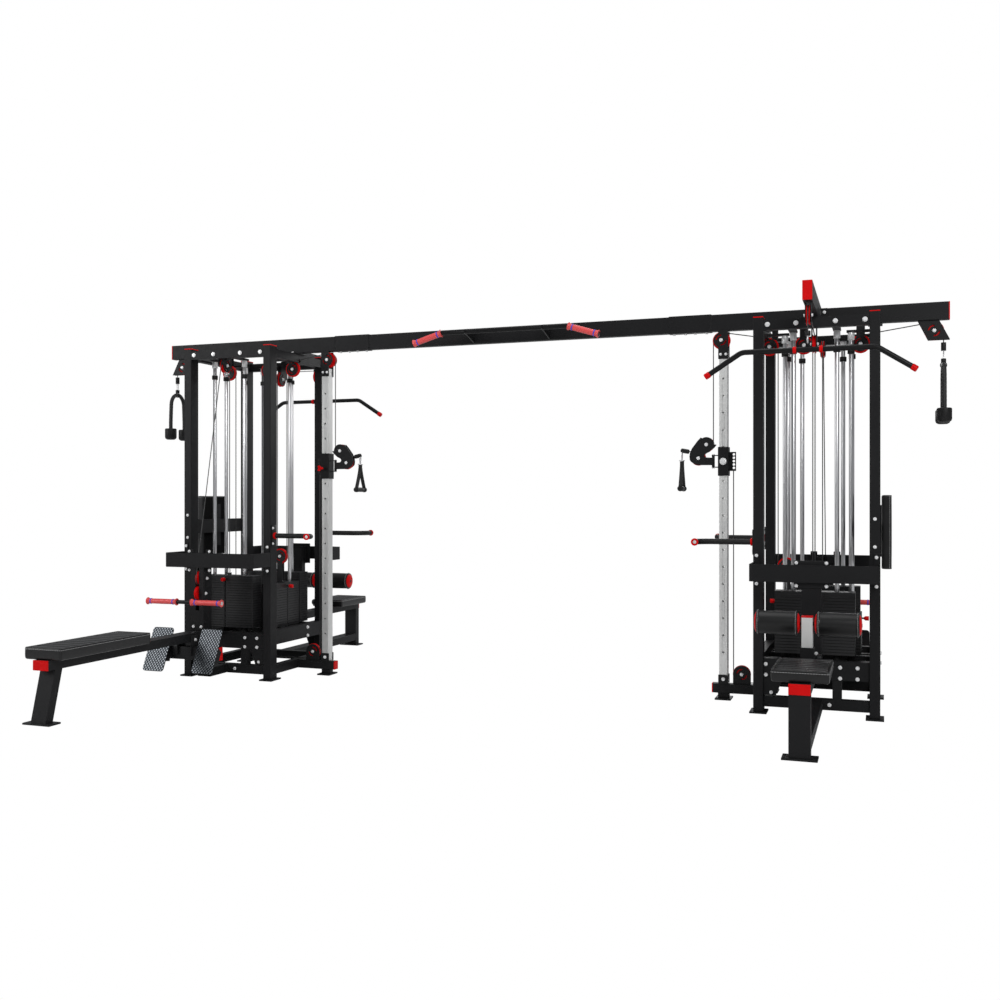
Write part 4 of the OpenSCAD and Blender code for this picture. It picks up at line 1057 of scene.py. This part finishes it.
for k, s in TOWERS:
    pads = {}
    for name, size, station, along_y, height, ribs, deep in FLAT_PADS:
        pads[name] = soft_pad(f"{name}_pad_{k}", *size, lambda x, y, z: (
            s * (station[k] + x), s * (along_y + y), height + z), ribs, rib=deep)
    pads["back"] = soft_pad(f"back_pad_{k}", *BACK_PAD, lambda x, y, z: (
        s * (BACK_X + z), s * x, BACK_Z + y), BACK_CUTS, split=True)
    if k == "a":
        for name, ob in pads.items():
            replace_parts(ob, f"{name}_pads")
print("pads", len(TOWERS) * len(pads))

# %% [markdown]
# ## Foam rollers
# Two covered foam rolls on one axle, a raised hem at each end of the cover and a red domed disc
# on every end.

# %%
FOAM_IN, FOAM_OUT, FOAM_R = 0.048, 0.255, 0.0602
FOAM_END = ((0.030, 0.001), (0.050, -0.001), (0.0560, 0.0003), (0.0606, 0.0020), (0.0622, 0.0048),
            (0.0619, 0.0078), (0.0600, 0.0095), (0.0590, 0.0115), (0.0594, 0.020), (0.0599, 0.05))
DISC = ((0.049, 0), (0.0512, 0.0010), (0.0516, 0.0030), (0.0506, 0.0042), (0.0490, 0.0041),
        (0.0440, 0.0072), (0.032, 0.0108), (0.0180, 0.0124), (0.0100, 0.0126))
AXLE = ((0.0085, -0.269), (0.0100, -0.2675), (0.0100, 0.2675), (0.0085, 0.269))
HEM_AT, HEM_RING, HEM_POINTS, HEM_STITCHES = 0.0078, 0.0624, 181, 40

for k, s in TOWERS:
    at = (s * SEAT[k], -s * ROLLER_Y, ROLLER_Z)
    hard = Parts()
    for side in (-1, 1):
        prof = [(r, FOAM_IN + h) for r, h in FOAM_END] + [(FOAM_R, (FOAM_IN + FOAM_OUT) / 2)]
        prof += [(r, FOAM_OUT - h) for r, h in reversed(FOAM_END)]
        foam = Parts().lathe([(r, side * h) for r, h in prof], "foam", at, "X", 64).make(
            f"foam_roll_{k}_{'l' if side < 0 else 'r'}", f"foam_rollers_{k}", "foam", 60)
        if side < 0:
            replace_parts(foam, f"foam_rollers_{k}")
        for x, w in ((FOAM_OUT, 1), (FOAM_IN, -1)):
            hard.lathe([(r, side * (x + w * h)) for r, h in DISC], "red", at, "X", 56)
            hem = oval((at[0] + side * (x - w * HEM_AT), at[1], at[2]), (0, HEM_RING, 0), (0, 0, HEM_RING),
                       HEM_POINTS)
            gate = np.abs(np.sin(np.arange(HEM_POINTS) / (HEM_POINTS - 1) * HEM_STITCHES * math.pi))
            stitched(hard, hem, 0.0003 + 0.0010 * gate, (1, 0, 0))
    hard.lathe(AXLE, "black", at, "X", 32)
    hard.make(f"roller_discs_{k}", f"foam_rollers_{k}", "red_plastic", 30)
print("foam rollers", len(TOWERS))

# %% [markdown]
# ## Grips and bars
# A grip is one turned profile with flared ends, a bright body and a blue ring near each end.

# %%
def fillet(pts, r, n=10):
    """Rounds the corners of a polyline."""
    p = [Vector(q) for q in pts]
    out_pts = [p[0]]
    for a, b, c in zip(p, p[1:], p[2:]):
        u, v = (a - b).normalized(), (c - b).normalized()
        half = math.acos(max(-1, min(1, u.dot(v)))) / 2
        cut = r / math.tan(half)
        centre = b + (u + v).normalized() * (r / math.sin(half))
        p0, p1 = b + u * cut - centre, b + v * cut - centre
        for i in range(n + 1):
            out_pts.append(centre + p0.slerp(p1, i / n) * r)
    return [tuple(q) for q in out_pts + [p[-1]]]


def along(start, end):
    """A map from (radius ring, height) space onto a line from start to end."""
    d = (Vector(end) - Vector(start)).normalized()
    q = Vector((0, 0, 1)).rotation_difference(d)
    return lambda v: Vector(start) + q @ Vector(v)


# radius beyond the grip's own, and distance from its end
FLARE = ((0.0066, 0.0006), (0.0072, 0.0022), (0.0066, 0.0042), (0.0036, 0.0085), (0.0014, 0.014),
         (0.0004, 0.021), (0, 0.026))
GRIP_CAP = ((0.0002, -0.001), (0.0124, -0.001), (0.0124, 0.0004), (0.0002, 0.0010))
NECK, BELLY, BELLY_CUTS = 0.026, 0.0007, 14  # end of the flare; how far the middle swells


def grip(parts, start, end, r):
    """Turned grip between two points, with its rings and end flares."""
    l = (Vector(end) - Vector(start)).length
    put = along(start, end)
    flare = [(r + q, h) for q, h in FLARE]
    body = [(0.0125, 0), (0.0150, -0.0008)] + flare
    body += [(r + BELLY * math.sin(math.pi * i / BELLY_CUTS), NECK + (l - 2 * NECK) * i / BELLY_CUTS)
             for i in range(1, BELLY_CUTS)]
    body += [(q, l - h) for q, h in reversed(flare)] + [(0.0150, l + 0.0008), (0.0125, l)]
    parts.lathe_on(put, body, "grip_red", 40)
    ring = ((r, 0.0245), (r + 0.0020, 0.0255), (r + 0.0020, 0.0325), (r, 0.0335))
    parts.lathe_on(put, ring, "ring_blue", 40)
    parts.lathe_on(put, [(q, l - h) for q, h in reversed(ring)], "ring_blue", 40)
    parts.lathe_on(put, [(r1, l + h) for r1, h in GRIP_CAP], "silver", 40)


CHIN_IN, CHIN_OUT, CHIN_Y = (0.428, 2.2976), (0.624, 2.2383), -0.18
chin = Parts()
for s in (-1, 1):
    grip(chin, (s * CHIN_IN[0], CHIN_Y, CHIN_IN[1]), (s * CHIN_OUT[0], CHIN_Y, CHIN_OUT[1]), 0.0186)
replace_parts(chin.make("chin_bar_grips", "frame", "red_grip", 40), "chin_grips")
print("chin-up bar grips")

# %% [markdown]
# ## Lat and row bars
# The lat bar is a bent tube with red tips and collars, hung from a tab, a ring and a moulded
# stop. The row bar is straight, with a grip at each end.

# %%
LAT_Y, LAT_TIP, LAT_BEND = -0.867, (0.521, 1.871), (0.336, 1.990)
LAT_TUBE, LAT_TURN, COLLAR_X = 0.0142, 0.07, 0.066
TIP = ((0.0142, 0), (0.0158, 0.0005), (0.0164, 0.003), (0.0164, 0.026), (0.0152, 0.0295), (0.010, 0.0310))
COLLAR = ((0.0140, -0.009), (0.0178, -0.0085), (0.0182, -0.006),
          (0.0182, 0.006), (0.0178, 0.0085), (0.0140, 0.009))
LAT_STOP = ((0.006, 2.060), (0.0135, 2.061), (0.0145, 2.064), (0.0145, 2.084),
            (0.013, 2.087), (0.0045, 2.088))
ROW_Y, ROW_Z, ROW_GRIP = 0.739, R3[1] - R_ROW, (0.056, 0.286)
ROW_BAR = ((0.011, -0.070), (0.013, -0.069), (0.013, 0.069), (0.011, 0.070))
ROW_STOP = ((0.004, -0.062), (0.0125, -0.061), (0.0135, -0.056), (0.0125, -0.050), (0.006, -0.049))

for k, s in TOWERS:
    bar = Parts()
    x, y, top = LAT[k], LAT_Y, LAT_BEND[1]
    path = fillet([(x - LAT_TIP[0], y, LAT_TIP[1]), (x - LAT_BEND[0], y, top),
                   (x + LAT_BEND[0], y, top), (x + LAT_TIP[0], y, LAT_TIP[1])], LAT_TURN)
    bar.tube(path, LAT_TUBE, "bar_coat", 28, up=(0, 1, 0))
    for side in (-1, 1):
        d = Vector((side * (LAT_TIP[0] - LAT_BEND[0]), 0, LAT_TIP[1] - top)).normalized()
        tip = Vector((x + side * LAT_TIP[0], y, LAT_TIP[1]))
        bar.lathe_on(along(tip - d * 0.022, tip + d * 0.010), TIP, "red")
        bar.lathe([(r, x + side * COLLAR_X + h) for r, h in COLLAR], "red", (0, y, top), "X", 32)
    bar.block((x - 0.011, y - 0.005, 2.000), (x + 0.011, y + 0.005, 2.025), "bar_coat", 0.002)
    ring = oval((x, y, 2.0415), (0, 0.0155, 0), (0, 0, 0.0215))
    bar.tube(ring, 0.0036, "chrome", up=(1, 0, 0), cap=False)
    bar.lathe(LAT_STOP, "boot", (x, y, 0), "Z", 32)
    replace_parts(bar.turn(s).make(f"lat_bar_dress_{k}", f"lat_bar_{k}", "bar_black"), f"lat_bar_{k}")

    bar = Parts()
    x, y, z = ROW[k], ROW_Y, ROW_Z
    bar.lathe(ROW_BAR, "bar_coat", (x, y, z), "X", 32)
    for side in (-1, 1):
        grip(bar, *((x + side * reach, y, z) for reach in ROW_GRIP), 0.0165)
    bar.block((x - 0.011, y - 0.026, z - 0.005), (x + 0.011, y - 0.009, z + 0.005), "bar_coat", 0.002)
    ring = oval((x, y - 0.040, z), (0, 0.019, 0), (0.0135, 0, 0))
    bar.tube(ring, 0.0034, "chrome", up=(0, 0, 1), cap=False)
    bar.lathe([(r, y + h) for r, h in ROW_STOP], "boot", (x, 0, z), "Y", 32)
    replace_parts(bar.turn(s).make(f"row_bar_dress_{k}", f"row_bar_{k}", "bar_black"), f"row_bar_{k}")
print("bars and grips")

# %% [markdown]
# ## Support handles
# Grab tubes on the inner posts: a bracket plate, a red collar, a ribbed black sleeve round the
# bend, and a red ring with a bright cap at the open end.

# %%
HANDLE_X, HANDLE_Y, HANDLE_Z = 1.581, 0.345, 0.972
HANDLE_RUN, HANDLE_TURN = 0.229, 0.090  # straight part, and radius of the bend
HANDLE_REACH, HANDLE_END = 0.319, 0.121
PLATE_T, PLATE_HALF, PLATE_Z = 0.006, 0.030, (0.900, 1.044)
RIBS, RIBS_FROM = 70, 0.014
HANDLE_COLLAR = ((0.0150, 0.0002), (0.0216, 0.0008), (0.0224, 0.004), (0.0224, 0.009),
                 (0.0208, 0.0125), (0.0150, 0.013))
END_RING = ((0.0120, 0), (0.0205, 0), (0.0212, 0.0015), (0.0212, 0.0085), (0.0200, 0.0100),
            (0.0135, 0.0100), (0.0120, 0.0085))
END_CAP = ((0.0119, 0), (0.0119, 0.0040), (0.0100, 0.0062), (0.0040, 0.0070))


def ringed(parts, line, profile, mat, n=32):
    """Turns a profile of (radius, distance) round a bent line."""
    p = np.array(line, float)
    run = run_of(p)
    up = np.array([0, 0, 1.0])

    def at(h):
        return np.array([np.interp(h, run, p[:, i]) for i in range(3)])

    v = []
    for r, h in profile:
        d = at(h + 0.002) - at(h - 0.002)
        v += ring_at(at(h), r, np.cross(d / np.linalg.norm(d), up), up, n)
    return parts.put(v, skin(len(profile), n), mat)


for k, s in TOWERS:
    for i, side in enumerate((-1, 1)):
        y, x = side * HANDLE_Y, HANDLE_X
        h = Parts()
        h.block((x - PLATE_T, y - PLATE_HALF, PLATE_Z[0]), (x, y + PLATE_HALF, PLATE_Z[1]),
                "coat_plate", 0.0025)
        line = [(x - PLATE_T, y, HANDLE_Z)]
        for w in np.linspace(0, math.pi / 2, 25):
            line.append((x - HANDLE_RUN - HANDLE_TURN * math.sin(w),
                         y + side * HANDLE_TURN * (1 - math.cos(w)), HANDLE_Z))
        line.append((x - HANDLE_REACH, y + side * HANDLE_END, HANDLE_Z))
        length = sum(math.dist(p, q) for p, q in zip(line, line[1:]))
        step = (length - 0.030) / RIBS
        prof = [(0.0150, 0.0005)]
        for j in range(RIBS):
            h0 = RIBS_FROM + step * j
            prof += [(0.0161, h0), (0.0167, h0 + 0.3 * step), (0.0167, h0 + 0.7 * step)]
        ringed(h, line, prof + [(0.0161, length - 0.016), (0.0150, length - 0.006)], "boot")
        ringed(h, line, HANDLE_COLLAR, "red")
        for profile, mat, n, closed in ((END_RING, "red", 40, True), (END_CAP, "silver", 32, False)):
            h.lathe([(r, y + side * (0.1155 + q)) for r, q in profile], mat,
                    (x - HANDLE_REACH, 0, HANDLE_Z), "Y", n, closed=closed)
        ob = h.turn(s).make(f"support_handle_{k}_{i}", "frame", "red_grip")
        if k == "a" and i == 0:
            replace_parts(ob, "support_handles")
print("support handles", 2 * len(TOWERS))

# %% [markdown]
# ## Foot treads
# Rounded tread plates of raised-pattern aluminium on the cross tube, with lugs behind and
# hangers to the bench rail.

# %%
TILT = math.radians(24.7)
TREAD_W, TREAD_H, TREAD_R, TREAD_T = 0.159, 0.297, 0.020, 0.005
TREAD_X, TREAD_FOOT = 0.187, (0.818, 0.100)  # off the bar's middle, and the foot in (Y, Z)
FACE_IN, FACE_T, FACE_AT = 0.001, 0.0012, 0.0048  # patterned face: inset, thickness, height
LUG = ((-0.044, 0.084), (0.0, 0.070), (0.0, 0.178), (-0.044, 0.164))
LUGS_AT, LUG_T = (0.004, 0.151), 0.004
HANGER_X, HANGER_HALF = 0.053, 0.003

for k, s in TOWERS:
    x = ROW[k]
    rest = Parts()
    rest.block((x - 0.240, 0.670, 0.173), (x + 0.192, 0.730, 0.257), "coat", 0.004, 3)
    for side in (-1, 1):
        hang = x + side * HANGER_X
        rest.block((hang - HANGER_HALF, 0.655, 0.200), (hang + HANGER_HALF, 0.745, 0.330),
                   "coat_plate", 0.0012)
        left = x + side * TREAD_X - TREAD_W / 2

        def on_plate(u, v, w):
            return (left + u, TREAD_FOOT[0] + w * math.cos(TILT) - v * math.sin(TILT),
                    TREAD_FOOT[1] + v * math.cos(TILT) + w * math.sin(TILT))

        rest.prism(round_rect(0, TREAD_W, 0, TREAD_H, TREAD_R), TREAD_T, "coat_plate", on_plate)
        face = round_rect(FACE_IN, TREAD_W - FACE_IN, FACE_IN, TREAD_H - FACE_IN, TREAD_R - FACE_IN)
        rest.prism(face, FACE_T, "tread", lambda u, v, w: on_plate(u, v, w + FACE_AT))
        for e in LUGS_AT:
            rest.prism(LUG, LUG_T, "coat_plate", lambda w, v, u: on_plate(e + u, v, w))
    ob = rest.turn(s).make(f"foot_treads_{k}", "frame", "tread_plate", 30)
    if k == "a":
        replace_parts(ob, "footrests")
print("foot treads", 2 * len(TOWERS))

# %% [markdown]
# ## Stirrup handles
# Cable stop, spring hook, ring, webbing straps sewn to a neck, and a grip with end knobs.

# %%
STIRRUP_X, GRIP_Z = 1.108, 1.283
STOP = ((0.0040, -0.004), (0.0100, -0.003), (0.0135, 0.002), (0.0140, 0.006), (0.0140, 0.012),
        (0.0130, 0.0125), (0.0130, 0.014), (0.0140, 0.0145), (0.0140, 0.040), (0.0125, 0.047),
        (0.0060, 0.051))
STIRRUP_NECK = ((0.0060, 1.454), (0.0120, 1.452), (0.0130, 1.446), (0.0126, 1.430), (0.0130, 1.416),
                (0.0126, 1.408), (0.0100, 1.402))
END_KNOB = ((0.0080, 0.048), (0.0165, 0.049), (0.0176, 0.052), (0.0176, 0.066), (0.0160, 0.070),
            (0.0090, 0.0715))
SLEEVE_HALF, SLEEVE_CUTS = 0.048, 24

for k, s in TOWERS:
    h = Parts()
    x0 = STIRRUP_X
    h.lathe_on(along((1.150, 0, ARM_Z - 0.0007), (1.100, 0, ARM_Z + 0.009)), STOP, "boot")
    hook = oval((x0, 0, 1.489), (0, 0.0085, 0), (0, 0, 0.026), 49)
    h.tube(hook, 0.0033, "chrome", up=(1, 0, 0), cap=False)
    h.tube([(x0, 0.0098, 1.478), (x0, 0.0098, 1.503)], 0.0036, "chrome")
    ring = oval((x0, 0, 1.4555), (0, 0.0145, 0.002), (0.0145, 0, 0))
    h.tube(ring, 0.0034, "chrome", up=(0, 0, 1), cap=False)
    h.lathe(STIRRUP_NECK, "boot", (x0, 0, 0), "Z", 24)
    for side in (-1, 1):
        strap = [(x0, side * (0.007 + 0.052 * v ** 1.12), 1.416 - 0.128 * v) for v in np.linspace(0, 1, 15)]
        h.ribbon(strap, 0.024, 0.0062, (1, 0, 0), "strap")
        h.ribbon([(x0, side * 0.006, 1.430), (x0, side * 0.008, 1.404)], 0.0235, 0.006, (1, 0, 0), "strap")
        h.lathe([(r, side * q) for r, q in END_KNOB], "boot", (x0, 0, GRIP_Z), "Y", 32)
    sleeve = [(0.0100, -0.050)]
    for j in range(SLEEVE_CUTS + 1):
        y = -SLEEVE_HALF + 2 * SLEEVE_HALF * j / SLEEVE_CUTS
        sleeve.append((0.0140 + 0.0012 * math.cos(y / 0.050 * math.pi / 2) + 0.0004 * (j % 2), y))
    h.lathe(sleeve + [(0.0100, 0.050)], "boot", (x0, 0, GRIP_Z), "Y", 32)
    ob = h.turn(s).make(f"stirrup_{k}", f"stirrup_handle_{k}", "rope_black")
    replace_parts(ob, f"stirrup_handle_{k}")
